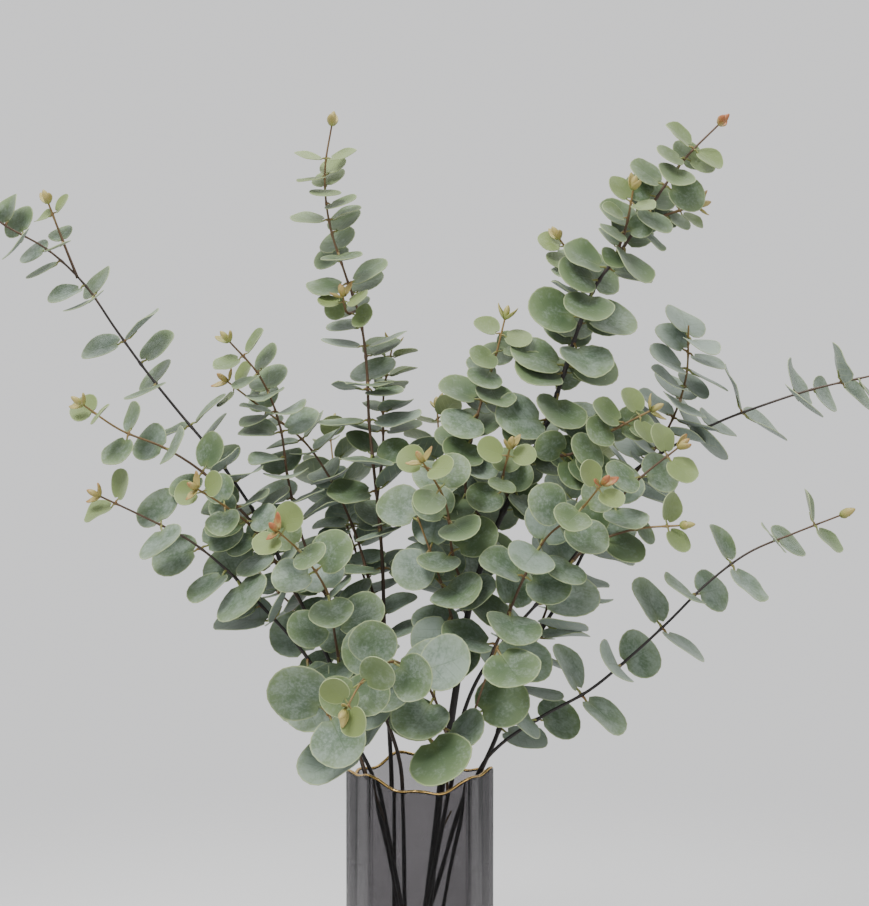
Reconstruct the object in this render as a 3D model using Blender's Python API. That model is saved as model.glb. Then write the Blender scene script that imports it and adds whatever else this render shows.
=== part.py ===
"""Eucalyptus branches standing in a fluted smoked-glass vase.

Metres, +Z up. The origin is the centre of the vase's foot, and -Y is the front. Eight leafy stems stand on
the vase's floor and lean out over its mouth. Each stem, with its side twigs, leaves and buds, is one body.
"""

import math
import random

import bmesh
import bpy
from mathutils import Matrix, Vector
from mathutils.bvhtree import BVHTree

CM = 0.01
MM = 0.001

# The vase
VASE_RADIUS = 61 * MM
VASE_HEIGHT = 256 * MM
WALL = 3.6 * MM
FLOOR = 10 * MM
FLUTES = 9
FLUTE_DEPTH = 3 * MM
STEPS_PER_FLUTE = 4
LIP_BROAD_WAVE = 5.5 * MM
LIP_BROAD_LOBES = 3
LIP_BROAD_TURN = math.radians(65)
LIP_FINE_WAVE = 2.2 * MM
GILT_RADIUS = 0.9 * MM
CLEAR = 0.35 * MM

# The eye that the routes below are drawn from, level with the middle of the leaves
EYE_DISTANCE = 1.5
EYE_SIDE = 0.012
EYE_HEIGHT = 0.56

# The stems
ROUTE_STEP = 42 * MM
TIP_RADIUS = 0.75 * MM
TWIG_RADIUS = 1.35 * MM
ROOT_SHARE = 0.12

# The leaves
BLADE = 0.8 * MM
STALK = 2.4 * MM
LIGHT_SHARE = 0.5
LOWEST_LIFT = math.radians(-55)
HIGHEST_LIFT = math.radians(65)
LARGEST_ROLL = math.radians(60)
STALK_HALF_WIDTH = 1.7 * MM
YOUNG_LEAF = 20 * MM
GROWTH_LENGTH = 65 * MM
LEAF_LENGTH_SHARE = 0.94
SMALL_LEAF = 36 * MM
LEAF_CLEARANCE = 0.6 * MM
TIP_LEAF = (11 * MM, 7 * MM)
BUD_LENGTH = 12 * MM
BUD_RADIUS = 3.2 * MM

# Each main stem: its foot in the vase (across, toward the front), its radius there, and its route above.
# A route's points are (across, up, toward the front) in centimetres, as the eye sees them on the mid plane.
STEMS = {
    "stem_far_left": {
        "foot": (1.2, -2.6),
        "radius": 2.6 * MM,
        "route": [(-4.3, 24.8, 0.6), (-6.0, 30.4, 0.8), (-7.5, 35.2, 0.6), (-9.4, 38.8, 0.2),
                  (-13.0, 46.1, -0.5), (-16.8, 51.7, -1.0), (-21.5, 57.4, -1.4), (-26.4, 64.2, -0.8),
                  (-28.6, 67.4, -0.4), (-31.4, 68.8, 0.4), (-33.6, 70.2, 1.0), (-37.4, 73.2, 1.8)],
        "leaf": 38 * MM, "gap": 26 * MM, "spacing": 36 * MM, "phase": 70, "bare": 0.34, "twigs": {
            "far_left_fork": {"at": 0.862, "leaf": 26 * MM, "gap": 13 * MM, "spacing": 24 * MM, "phase": 80,
                              "route": [(-29.4, 70.0, 0.0), (-29.8, 71.3, 0.4), (-30.3, 72.4, 0.8)]},
            "far_left_lower": {"at": 0.545, "leaf": 37 * MM, "gap": 15 * MM, "spacing": 32 * MM, "phase": 15,
                               "route": [(-17.9, 50.4, 1.0), (-20.8, 52.2, 2.0), (-23.5, 53.2, 3.0),
                                         (-26.1, 54.7, 3.8), (-27.7, 55.9, 4.4)]},
            "far_left_inner": {"at": 0.475, "leaf": 36 * MM, "gap": 10 * MM, "spacing": 27 * MM, "phase": 60,
                               "route": [(-13.0, 44.8, 1.2), (-14.3, 46.3, 2.4), (-15.7, 47.3, 3.8),
                                         (-17.2, 48.3, 5.4), (-18.4, 49.0, 6.8)]},
        },
    },
    "stem_left_low": {
        "foot": (1.4, 2.4),
        "radius": 2.6 * MM,
        "route": [(-3.7, 24.8, 2.3), (-5.6, 28.7, 3.0), (-7.6, 32.5, 3.2), (-9.8, 35.8, 2.8),
                  (-11.4, 37.6, 2.4), (-13.8, 40.2, 2.0), (-17.0, 43.4, 2.0), (-19.1, 44.8, 2.2),
                  (-22.2, 46.4, 2.8), (-24.2, 47.4, 3.2), (-26.4, 48.4, 3.8)],
        "leaf": 52 * MM, "gap": 17 * MM, "spacing": 37 * MM, "phase": 75, "bare": 0.40, "twigs": {
            "left_base": {"at": 0.36, "leaf": 54 * MM, "gap": 3 * MM, "spacing": 28 * MM, "phase": 40,
                          "trimmed": 120 * MM, "to_light": 0.6,
                          "route": [(-6.9, 32.4, 4.2), (-7.8, 32.6, 5.4), (-8.1, 31.6, 6.8),
                                    (-7.6, 30.3, 8.0)]},
            "left_front": {"at": 0.50, "leaf": 44 * MM, "gap": 9 * MM, "spacing": 25 * MM, "phase": 100,
                           "route": [(-6.9, 36.4, 5.0), (-7.2, 39.3, 6.6), (-8.3, 41.8, 8.2),
                                     (-9.6, 43.5, 9.8), (-10.9, 44.7, 11.2), (-11.8, 45.6, 12.4)]},
        },
    },
    "stem_tall_left": {
        "foot": (-2.2, -1.8),
        "radius": 2.8 * MM,
        "route": [(-2.3, 23.4, -1.5), (-2.6, 30.8, -1.2), (-2.9, 37.5, -1.2), (-3.1, 43.6, -1.4),
                  (-3.6, 49.3, -1.6), (-4.1, 53.0, -1.8), (-4.2, 57.0, -1.8), (-4.7, 62.0, -1.4),
                  (-5.9, 65.9, -0.8), (-7.1, 69.3, -0.2), (-7.7, 73.2, 0.4), (-7.6, 75.7, 0.8),
                  (-7.1, 78.7, 1.2)],
        "leaf": 46 * MM, "gap": 30 * MM, "spacing": 25 * MM, "phase": 90, "bare": 0.50, "growth": 170 * MM,
        "twigs": {
            "tall_left_fork": {"at": 0.80, "leaf": 24 * MM, "gap": 8 * MM, "spacing": 18 * MM, "phase": 60,
                               "route": [(-6.0, 63.3, 0.6), (-6.3, 64.8, 1.4)]},
            "tall_left_back": {"at": 0.60, "leaf": 40 * MM, "gap": 12 * MM, "spacing": 30 * MM, "phase": 70,
                               "route": [(-3.0, 51.6, -3.0), (-3.2, 54.5, -3.8), (-2.8, 57.4, -4.6),
                                         (-2.2, 60.7, -5.4)]},
            "tall_left_side": {"at": 0.46, "leaf": 36 * MM, "gap": 12 * MM, "spacing": 34 * MM, "phase": 80,
                               "route": [(-4.6, 42.9, -3.2), (-6.0, 47.2, -3.6), (-8.7, 51.9, -3.8),
                                         (-10.1, 53.2, -3.8), (-12.4, 55.1, -3.2), (-14.4, 56.5, -2.2),
                                         (-15.9, 57.8, -1.2)]},
            "left_back": {"at": 0.44, "leaf": 46 * MM, "gap": 14 * MM, "spacing": 40 * MM, "phase": 20,
                          "route": [(-4.4, 41.2, -5.4), (-6.0, 46.0, -8.4), (-7.0, 50.5, -11.0),
                                    (-7.4, 54.1, -13.0)]},
        },
    },
    "stem_upper_left": {
        "foot": (-1.0, 2.3),
        "radius": 2.5 * MM,
        "route": [(-1.4, 23.0, 1.0), (-2.0, 27.5, 1.0), (-3.4, 31.6, 0.7), (-5.4, 35.8, 0.2),
                  (-8.0, 40.8, -1.0), (-9.6, 44.9, -1.6), (-10.5, 48.3, -2.0), (-11.0, 51.2, -2.0),
                  (-11.4, 54.0, -1.6), (-12.6, 57.3, -0.8), (-14.4, 59.8, 0.2), (-15.7, 61.1, 0.8)],
        "leaf": 42 * MM, "gap": 20 * MM, "spacing": 34 * MM, "phase": 85, "bare": 0.52, "twigs": {
            "left_rear": {"at": 0.47, "leaf": 44 * MM, "gap": 14 * MM, "spacing": 46 * MM, "phase": 50,
                          "route": [(-8.6, 37.5, -3.4), (-11.4, 40.2, -6.2), (-14.0, 43.1, -8.6),
                                    (-16.0, 46.2, -10.4)]},
        },
    },
    "stem_tall_right": {
        "foot": (-0.9, 0.4),
        "radius": 4.9 * MM,
        "route": [(1.6, 23.2, 1.0), (2.2, 27.5, 1.2), (3.1, 33.3, 1.4), (3.7, 37.5, 1.4),
                  (4.8, 41.9, 1.2), (6.2, 45.6, 1.0), (7.9, 49.3, 0.8), (9.8, 53.0, 0.8),
                  (11.0, 55.9, 1.0), (12.4, 60.5, 1.4), (14.8, 66.5, 2.2), (16.6, 68.6, 2.6),
                  (18.0, 70.0, 2.8), (19.2, 72.6, 3.2), (20.9, 75.0, 3.6), (23.4, 77.6, 4.2),
                  (24.5, 78.7, 4.4)],
        "leaf": 48 * MM, "gap": 30 * MM, "spacing": 18 * MM, "phase": 80, "bare": 0.46, "growth": 100 * MM,
        "to_light": 0.8, "twigs": {
            "tall_right_fork": {"at": 0.865, "leaf": 34 * MM, "gap": 20 * MM, "spacing": 22 * MM,
                                "phase": 80,
                                "route": [(20.1, 71.2, 2.2), (21.8, 71.8, 1.8), (22.9, 72.0, 1.6)]},
            "tall_right_front": {"at": 0.835, "leaf": 34 * MM, "gap": 14 * MM, "spacing": 24 * MM,
                                 "phase": 60,
                                 "route": [(16.8, 70.3, 4.0), (17.1, 71.9, 4.8), (17.4, 73.5, 5.4)]},
            "tall_right_inner": {"at": 0.775, "leaf": 36 * MM, "gap": 12 * MM, "spacing": 22 * MM,
                                 "phase": 70,
                                 "route": [(13.0, 66.5, 1.0), (12.2, 68.2, 1.4), (11.2, 69.5, 2.0)]},
            "middle_side": {"at": 0.64, "leaf": 45 * MM, "gap": 13 * MM, "spacing": 24 * MM, "phase": 70,
                            "to_light": 0.8,
                            "route": [(10.6, 51.1, 2.6), (13.0, 52.2, 3.2), (14.9, 53.3, 3.8),
                                      (17.0, 54.1, 4.4), (19.1, 55.4, 5.0)]},
            "middle_tip": {"at": 0.58, "leaf": 38 * MM, "gap": 10 * MM, "spacing": 20 * MM, "phase": 100,
                           "route": [(6.5, 48.3, 2.8), (7.0, 50.3, 4.2), (7.4, 52.4, 5.4)]},
            "middle_upper": {"at": 0.545, "leaf": 44 * MM, "gap": 16 * MM, "spacing": 26 * MM, "phase": 80,
                             "to_light": 0.8,
                             "route": [(4.2, 46.8, 1.6), (3.8, 50.3, 1.6), (4.4, 53.4, 1.2),
                                       (5.5, 57.9, 0.8), (6.2, 59.6, 0.8), (6.6, 61.1, 0.9),
                                       (7.0, 63.0, 1.2)]},
            "middle_left": {"at": 0.40, "leaf": 48 * MM, "gap": 4 * MM, "spacing": 24 * MM, "phase": 50,
                            "trimmed": 60 * MM, "to_light": 0.75,
                            "route": [(2.6, 38.4, 3.0), (1.6, 41.6, 3.6), (0.6, 44.6, 3.8),
                                      (-0.2, 46.6, 3.6)]},
            "middle_front": {"at": 0.47, "leaf": 44 * MM, "gap": 10 * MM, "spacing": 26 * MM, "phase": 30,
                             "route": [(2.9, 42.4, 3.4), (2.3, 46.8, 5.0), (1.7, 48.9, 6.0),
                                       (0.8, 50.1, 7.0), (0.1, 51.3, 8.0)]},
            "middle_back": {"at": 0.455, "leaf": 46 * MM, "gap": 14 * MM, "spacing": 46 * MM, "phase": 40,
                            "route": [(2.8, 42.4, -3.6), (2.2, 47.4, -7.0), (1.6, 52.4, -10.0),
                                      (1.4, 55.7, -12.0)]},
            "stub": {"at": 0.222, "leaf": 0, "route": [(2.5, 21.8, 1.2), (2.75, 22.1, 1.3)]},
        },
    },
    "stem_right_front": {
        "foot": (-2.6, 3.2),
        "radius": 2.9 * MM,
        "route": [(2.4, 23.8, 3.1), (2.9, 27.5, 3.5), (3.9, 31.6, 3.8), (6.1, 35.4, 4.0),
                  (8.0, 37.7, 4.2), (10.2, 40.2, 4.6), (12.4, 43.1, 5.0), (15.2, 46.8, 5.4),
                  (17.2, 48.8, 5.8), (18.6, 50.4, 6.2), (21.3, 52.4, 7.0)],
        "leaf": 52 * MM, "gap": 14 * MM, "spacing": 28 * MM, "phase": 60, "bare": 0.54, "to_light": 0.7,
        "twigs": {
            "front_base": {"at": 0.40, "leaf": 58 * MM, "gap": 3 * MM, "spacing": 60 * MM, "phase": 10,
                           "trimmed": 150 * MM, "to_light": 0.5,
                           "route": [(1.8, 28.3, 5.6), (0.5, 28.7, 7.6)]},
            "front_low": {"at": 0.44, "leaf": 50 * MM, "gap": 9 * MM, "spacing": 25 * MM, "phase": 70,
                          "bare": 0.12,
                          "route": [(1.5, 31.2, 6.0), (-0.6, 33.9, 8.2), (-2.6, 34.8, 10.6),
                                    (-4.2, 33.7, 13.0), (-5.4, 32.1, 15.0), (-6.2, 30.6, 16.6)]},
            "right_side": {"at": 0.745, "leaf": 42 * MM, "gap": 14 * MM, "spacing": 26 * MM, "phase": 80,
                           "route": [(14.4, 44.7, 6.2), (16.1, 45.4, 6.8), (18.7, 45.6, 7.4),
                                     (21.6, 45.9, 8.0)]},
            "right_base": {"at": 0.43, "leaf": 52 * MM, "gap": 3 * MM, "spacing": 60 * MM, "phase": 30,
                           "trimmed": 120 * MM, "to_light": 0.6,
                           "route": [(5.4, 33.4, 6.2), (6.0, 34.6, 7.6), (6.4, 36.0, 8.6)]},
            "right_bloom": {"at": 0.60, "leaf": 46 * MM, "gap": 9 * MM, "spacing": 27 * MM, "phase": 75,
                            "route": [(8.6, 41.8, 6.2), (10.2, 44.7, 7.4), (11.8, 46.0, 9.0),
                                      (13.6, 47.6, 11.0), (15.0, 49.4, 12.8)]},
        },
    },
    "stem_right": {
        "foot": (-4.0, -0.4),
        "radius": 2.8 * MM,
        "route": [(4.6, 24.8, -0.7), (6.1, 28.1, -1.4), (7.1, 31.2, -2.2), (8.4, 34.5, -3.0),
                  (9.8, 37.1, -3.6), (12.0, 40.8, -4.6), (14.4, 45.8, -5.4), (16.4, 49.1, -5.8),
                  (18.3, 51.0, -6.0), (21.9, 53.0, -5.8), (25.6, 54.9, -5.2), (30.0, 56.3, -4.4),
                  (33.3, 57.4, -3.6), (35.9, 57.9, -3.0), (40.2, 58.8, -2.0)],
        "leaf": 48 * MM, "gap": 24 * MM, "spacing": 38 * MM, "phase": 20, "bare": 0.36, "twigs": {
            "right_upper": {"at": 0.625, "leaf": 44 * MM, "gap": 10 * MM, "spacing": 24 * MM, "phase": 15,
                            "trimmed": 70 * MM, "to_light": 0.8,
                            "route": [(20.4, 54.0, -4.4), (21.4, 57.0, -3.6), (22.2, 59.7, -3.0),
                                      (21.9, 62.2, -2.4)]},
            "right_back": {"at": 0.44, "leaf": 46 * MM, "gap": 14 * MM, "spacing": 46 * MM, "phase": 35,
                           "route": [(10.4, 39.1, -7.4), (11.6, 44.1, -10.6), (13.2, 49.1, -13.0),
                                     (14.4, 52.4, -14.4)]},
        },
    },
    "stem_right_low": {
        "foot": (-0.9, -3.8),
        "radius": 2.4 * MM,
        "route": [(4.8, 25.7, 0.7), (6.3, 27.6, 0.8), (9.0, 29.7, 1.0), (12.3, 31.3, 1.2),
                  (15.5, 33.6, 1.6), (18.3, 36.1, 2.0), (21.3, 38.9, 2.2), (23.8, 41.4, 2.2),
                  (26.6, 43.5, 2.0), (30.2, 45.1, 1.6), (33.0, 46.0, 1.2), (34.6, 46.8, 1.0)],
        "leaf": 44 * MM, "gap": 26 * MM, "spacing": 35 * MM, "phase": 75, "bare": 0.48, "twigs": {},
    },
}

# The leaves of the twigs named here take their places first, and the others are turned clear of them.
FRONT_FIRST = ("front_low", "left_front", "right_bloom", "middle_front", "middle_tip")

# How a leaf that would meet another is changed: its turn round the stem, lift, roll and size
TRIES = [(0, 0, 0, 1), (14, 0, 0, 1), (-14, 0, 0, 1), (0, 14, 0, 1), (0, -14, 0, 1), (0, 0, 18, 1),
         (0, 0, -18, 1), (26, 10, 0, 0.95), (-26, 10, 0, 0.95), (20, -16, 14, 0.92),
         (-20, -16, -14, 0.92), (0, 26, 0, 0.9), (34, 16, 20, 0.86), (-34, 16, -20, 0.86),
         (0, 36, 12, 0.8), (40, 0, -20, 0.76), (-40, 0, 20, 0.76)]


def clear_scene():
    for thing in list(bpy.data.objects):
        bpy.data.objects.remove(thing)


def collection(name):
    made = bpy.data.collections.new(name)
    bpy.context.scene.collection.children.link(made)
    return made


def material(name, colour, roughness, metallic=0.0):
    made = bpy.data.materials.new(name)
    made.use_nodes = True
    surface = made.node_tree.nodes["Principled BSDF"]
    surface.inputs["Base Color"].default_value = (*colour, 1)
    surface.inputs["Roughness"].default_value = roughness
    surface.inputs["Metallic"].default_value = metallic
    return made


# Glass: an open fluted cup, from rings of corners joined by faces


def flute_radius(turn, inset=0.0):
    """The outer radius at an angle from a ridge: nine ridges with hollow flutes between them."""
    across = (FLUTES * turn / math.tau) % 1.0
    from_middle = 2 * across - 1
    return VASE_RADIUS - inset - FLUTE_DEPTH * (1 - from_middle * from_middle)


def lip_height(turn):
    broad = LIP_BROAD_WAVE * math.cos(LIP_BROAD_LOBES * (turn - LIP_BROAD_TURN))
    fine = LIP_FINE_WAVE * math.cos(FLUTES * turn)
    return VASE_HEIGHT + broad + fine


def round_vase(turn, radius, height):
    """A point round the vase, whose first ridge faces front."""
    return Vector((radius * math.sin(turn), -radius * math.cos(turn), height))


def add_vase(home, glass):
    turns = [math.tau * index / (FLUTES * STEPS_PER_FLUTE) for index in range(FLUTES * STEPS_PER_FLUTE)]
    shape = bmesh.new()
    rings = []
    for inset, foot in ((0, 0), (0, None), (WALL, None), (WALL, FLOOR)):
        ring = []
        for turn in turns:
            height = lip_height(turn) if foot is None else foot
            ring.append(shape.verts.new(round_vase(turn, flute_radius(turn, inset), height)))
        rings.append(ring)
    for low, high in zip(rings, rings[1:]):
        for index in range(len(turns)):
            shape.faces.new((low[index - 1], low[index], high[index], high[index - 1]))
    shape.faces.new(rings[0][::-1])
    shape.faces.new(rings[-1])
    bmesh.ops.recalc_face_normals(shape, faces=shape.faces)
    vase = add_mesh_object("vase", shape, home)
    vase.data.materials.append(glass)
    return vase


def add_gilt(home, gold):
    """A fine bead of gilding that follows the lip, clear of the glass by a hair."""
    sides = FLUTES * STEPS_PER_FLUTE
    lip = bpy.data.curves.new("gilt_lip", "CURVE")
    lip.dimensions = "3D"
    lip.bevel_depth = GILT_RADIUS
    lip.bevel_resolution = 0
    ring = lip.splines.new("POLY")
    ring.points.add(sides - 1)
    ring.use_cyclic_u = True
    for index, point in enumerate(ring.points):
        turn = math.tau * index / sides
        seat = lip_height(turn) + 1.2 * GILT_RADIUS + CLEAR
        point.co = (*round_vase(turn, flute_radius(turn, inset=WALL / 2), seat), 1)
    guide = bpy.data.objects.new("gilt_lip_line", lip)
    home.objects.link(guide)
    gilt = bpy.data.objects.new("gilt_lip", as_mesh(guide))
    home.objects.link(gilt)
    bpy.data.objects.remove(guide)
    gilt.data.materials.append(gold)
    return gilt


def as_mesh(guide):
    """The mesh that a curve shows."""
    bpy.context.view_layer.update()
    return bpy.data.meshes.new_from_object(guide.evaluated_get(bpy.context.evaluated_depsgraph_get()))


# Routes: smooth lines through the points above


def seen(across, up, toward):
    """The place that the eye sees at this point of the vase's mid plane, this far toward the front."""
    share = (EYE_DISTANCE - toward * CM) / EYE_DISTANCE
    side = EYE_SIDE + (across * CM - EYE_SIDE) * share
    height = EYE_HEIGHT + (up * CM - EYE_HEIGHT) * share
    return Vector((side, -toward * CM, height))


def smooth(points):
    """A Catmull-Rom line through the points, resampled at even steps."""
    ends = [2 * points[0] - points[1], *points, 2 * points[-1] - points[-2]]
    fine = []
    for a, b, c, d in zip(ends, ends[1:], ends[2:], ends[3:]):
        for step in range(8):
            s = step / 8
            fine.append(0.5 * (2 * b + (c - a) * s + (2 * a - 5 * b + 4 * c - d) * s**2
                               + (3 * b - a - 3 * c + d) * s**3))
    fine.append(points[-1])
    return fine


class Line:
    """A line of straight runs with its length, for places and directions along it."""

    def __init__(self, points):
        self.points = points
        self.marks = [0.0]
        for a, b in zip(points, points[1:]):
            self.marks.append(self.marks[-1] + (b - a).length)
        self.length = self.marks[-1]

    def at(self, distance):
        distance = min(max(distance, 0.0), self.length)
        for index in range(1, len(self.marks)):
            if self.marks[index] >= distance:
                break
        span = self.marks[index] - self.marks[index - 1]
        share = (distance - self.marks[index - 1]) / span
        return self.points[index - 1].lerp(self.points[index], share)

    def direction(self, distance):
        near = 4 * MM
        return (self.at(distance + near) - self.at(distance - near)).normalized()

    def even(self, step):
        """The same route in equal straight runs."""
        count = max(2, round(self.length / step))
        return Line([self.at(self.length * index / count) for index in range(count + 1)])


def twig_lines():
    """Every twig's line, radius at the root, stem and rule, by name; a stem is its own first twig."""
    found = {}
    for name, stem in STEMS.items():
        route = [seen(*point) for point in stem["route"]]
        foot = Vector((stem["foot"][0] * CM, -stem["foot"][1] * CM, FLOOR + CLEAR))
        lean = (route[0] - foot).normalized()
        foot.z += stem["radius"] * lean.xy.length
        line = Line(smooth([foot] + route)).even(ROUTE_STEP)
        found[name] = {"stem": name, "line": line, "radius": stem["radius"], "rule": stem}
        for twig_name, twig in stem["twigs"].items():
            root = line.at(line.length * twig["at"])
            own = Line(smooth([root] + [seen(*point) for point in twig["route"]])).even(ROUTE_STEP)
            found[twig_name] = {"stem": name, "line": own, "radius": TWIG_RADIUS, "rule": twig}
    return found


def twig_radius(twig, distance):
    share = distance / twig["line"].length
    return twig["radius"] + (TIP_RADIUS - twig["radius"]) * share**0.8


def add_tube(name, points, radii, resolution):
    """A tapered tube as a closed mesh."""
    data = bpy.data.curves.new(name, "CURVE")
    data.dimensions = "3D"
    data.bevel_depth = 1
    data.bevel_resolution = resolution
    data.use_fill_caps = True
    spline = data.splines.new("POLY")
    spline.points.add(len(points) - 1)
    for point, place, radius in zip(spline.points, points, radii):
        point.co = (*place, 1)
        point.radius = radius
    guide = bpy.data.objects.new(name, data)
    bpy.context.scene.collection.objects.link(guide)
    mesh = as_mesh(guide)
    shape = bmesh.new()
    shape.from_mesh(mesh)
    bmesh.ops.remove_doubles(shape, verts=shape.verts, dist=0.01 * MM)
    shape.to_mesh(mesh)
    shape.free()
    tube = bpy.data.objects.new(name, mesh)
    tube.matrix_world = guide.matrix_world
    bpy.data.objects.remove(guide)
    return tube


# Leaves: opposite pairs, each pair a quarter turn from the last


def leaf_shape(width, length, root, reach, bend, corners, swell=0.0, blade=BLADE):
    """A thin round blade on its stalk, closed. X runs out from the stem's centre, Z is the upper side."""
    shape = bmesh.new()
    notch = math.asin(STALK_HALF_WIDTH / (width / 2))
    rim = []
    for index in range(corners):
        turn = math.pi - notch - (math.tau - 2 * notch) * index / (corners - 1)
        x = length / 2 * (1 + math.cos(turn))
        out = reach + x + swell * math.cos(turn)
        side = (width / 2 + swell) * math.sin(turn)
        rim.append(shape.verts.new((out, side, bend * x * (x / length - 1))))
    foot = shape.verts.new((root, 0, 0))
    shape.faces.new(rim)
    shape.faces.new([rim[-1], foot, rim[0]][::-1])
    bmesh.ops.triangulate(shape, faces=shape.faces)
    bmesh.ops.recalc_face_normals(shape, faces=shape.faces)
    if sum(face.normal.z for face in shape.faces) < 0:
        bmesh.ops.reverse_faces(shape, faces=shape.faces)
    bmesh.ops.solidify(shape, geom=shape.faces[:], thickness=blade)
    return shape


def leaf_matrix(place, along, turn, lift, roll):
    """Where a leaf stands: at a place on a twig, turned round it and lifted toward its tip."""
    front = Vector((0, -1, 0))
    if abs(along.dot(front)) > 0.96:
        front = Vector((0, 0, 1))
    first = (front - along * front.dot(along)).normalized()
    second = along.cross(first)
    out = first * math.cos(turn) + second * math.sin(turn)
    line = out * math.cos(lift) + along * math.sin(lift)
    side = Matrix.Rotation(roll, 3, line) @ along.cross(out)
    up = line.cross(side)
    made = Matrix((line, side, up)).transposed().to_4x4()
    made.translation = place
    return made


def turned_to_light(place, along, turn, lift, share):
    """The lift and roll of a blade turned part of the way to the light, which comes from outside."""
    light = Vector((0.3 * place.x, 1.5 * place.y - 0.10, 0.10)).normalized()
    blade = leaf_matrix(place, along, turn, 0, 0).to_3x3()
    out = blade.col[0]
    best = math.atan2(-out.dot(light), along.dot(light))
    best = min(max(best, LOWEST_LIFT), HIGHEST_LIFT)
    lift += share * (best - lift)
    blade = leaf_matrix(place, along, turn, lift, 0).to_3x3()
    side, up = blade.col[1], blade.col[2]
    roll = math.atan2(-side.dot(light), up.dot(light)) * share
    return lift, min(max(roll, -LARGEST_ROLL), LARGEST_ROLL)


def leaf_places(name, twig):
    """The leaves of one twig by its rule, from tip to root, before any is turned clear."""
    rule, line = twig["rule"], twig["line"]
    draw = random.Random(name)
    distance = rule["gap"]
    phase = rule["phase"]
    end = line.length * (1 - rule.get("bare", 0.0)) - 6 * MM
    while distance < end:
        at = line.length - distance
        place = line.at(at)
        along = line.direction(at)
        grown = 1 - math.exp(-(distance + rule.get("trimmed", 0)) / rule.get("growth", GROWTH_LENGTH))
        raised = math.radians(24 + 26 * math.exp(-distance / 40 / MM) + draw.uniform(-9, 9))
        for side in (0, 180):
            width = (YOUNG_LEAF + (rule["leaf"] - YOUNG_LEAF) * grown) * draw.uniform(0.9, 1.1)
            turn = math.radians(phase + side + draw.uniform(-14, 14))
            raised_by = raised + draw.uniform(-0.16, 0.16)
            lift, roll = turned_to_light(place, along, turn, raised_by, rule.get("to_light", LIGHT_SHARE))
            yield {
                "place": place, "along": along, "radius": twig_radius(twig, at), "share": at / line.length,
                "turn": turn, "lift": lift, "roll": roll + math.radians(draw.uniform(-14, 14)),
                "width": width, "bend": draw.uniform(-0.15, 0.32), "age": grown,
            }
        phase += 90 + draw.uniform(-8, 8)
        distance += rule["spacing"] * draw.uniform(0.9, 1.1) * (0.92 + 0.3 * grown)


def tree_of(shape, matrix):
    shape.transform(matrix)
    return BVHTree.FromBMesh(shape)


def settle_leaves(twigs, holders):
    """Gives every leaf its final place: the first of the tries at which it meets nothing placed before."""
    bpy.context.view_layer.update()
    depsgraph = bpy.context.evaluated_depsgraph_get()
    tubes = {holder.name: BVHTree.FromObject(holder, depsgraph) for holder in holders}
    for name, twig in twigs.items():
        line = twig["line"]
        shape = bmesh.new()
        for index, (a, b) in enumerate(zip(line.points, line.points[1:])):
            radius = twig_radius(twig, line.marks[index]) + LEAF_CLEARANCE
            turn = (b - a).to_track_quat("Z", "Y").to_matrix().to_4x4()
            turn.translation = (a + b) / 2
            bmesh.ops.create_cone(shape, cap_ends=True, segments=6, radius1=radius, radius2=radius,
                                  depth=(b - a).length, matrix=turn)
        tubes[name] = BVHTree.FromBMesh(shape)
        shape.free()
    order = sorted(twigs, key=lambda n: (n not in FRONT_FIRST, list(twigs).index(n)))
    settled = []
    for name in order:
        if not twigs[name]["rule"]["leaf"]:
            continue
        own = {name, twigs[name]["stem"]} if name in STEMS else {name}
        for leaf in leaf_places(name, twigs[name]):
            for turn, lift, roll, size in TRIES:
                width = leaf["width"] * size
                length = width * LEAF_LENGTH_SHARE
                matrix = leaf_matrix(leaf["place"], leaf["along"], leaf["turn"] + math.radians(turn),
                                     leaf["lift"] + math.radians(lift), leaf["roll"] + math.radians(roll))
                reach = leaf["radius"] + STALK
                root = leaf["radius"] * ROOT_SHARE
                swollen = leaf_shape(width, length, root, reach, leaf["bend"], 12, LEAF_CLEARANCE,
                                     BLADE + 2 * LEAF_CLEARANCE)
                swollen.transform(Matrix.Translation((0, 0, LEAF_CLEARANCE)))
                tree = tree_of(swollen, matrix)
                swollen.free()
                centre = matrix @ Vector((reach + length / 2, 0, 0))
                reach_out = length / 2 + STALK + 2 * MM
                near = [o for o in settled if (o["centre"] - centre).length < reach_out + o["reach_out"]
                        and o["node"] != (name, tuple(leaf["place"]))]
                if any(tree.overlap(o["tree"]) for o in near):
                    continue
                if any(tree.overlap(t) for n, t in tubes.items() if n not in own):
                    continue
                settled.append({"twig": name, "node": (name, tuple(leaf["place"])), "tree": tree,
                                "centre": centre, "reach_out": reach_out, "matrix": matrix, "width": width,
                                "length": length, "root": root, "reach": reach, "bend": leaf["bend"],
                                "age": leaf["age"]})
                break
    return settled


def add_mesh_object(name, shape, home):
    mesh = bpy.data.meshes.new(name)
    shape.to_mesh(mesh)
    shape.free()
    made = bpy.data.objects.new(name, mesh)
    home.objects.link(made)
    return made


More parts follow.
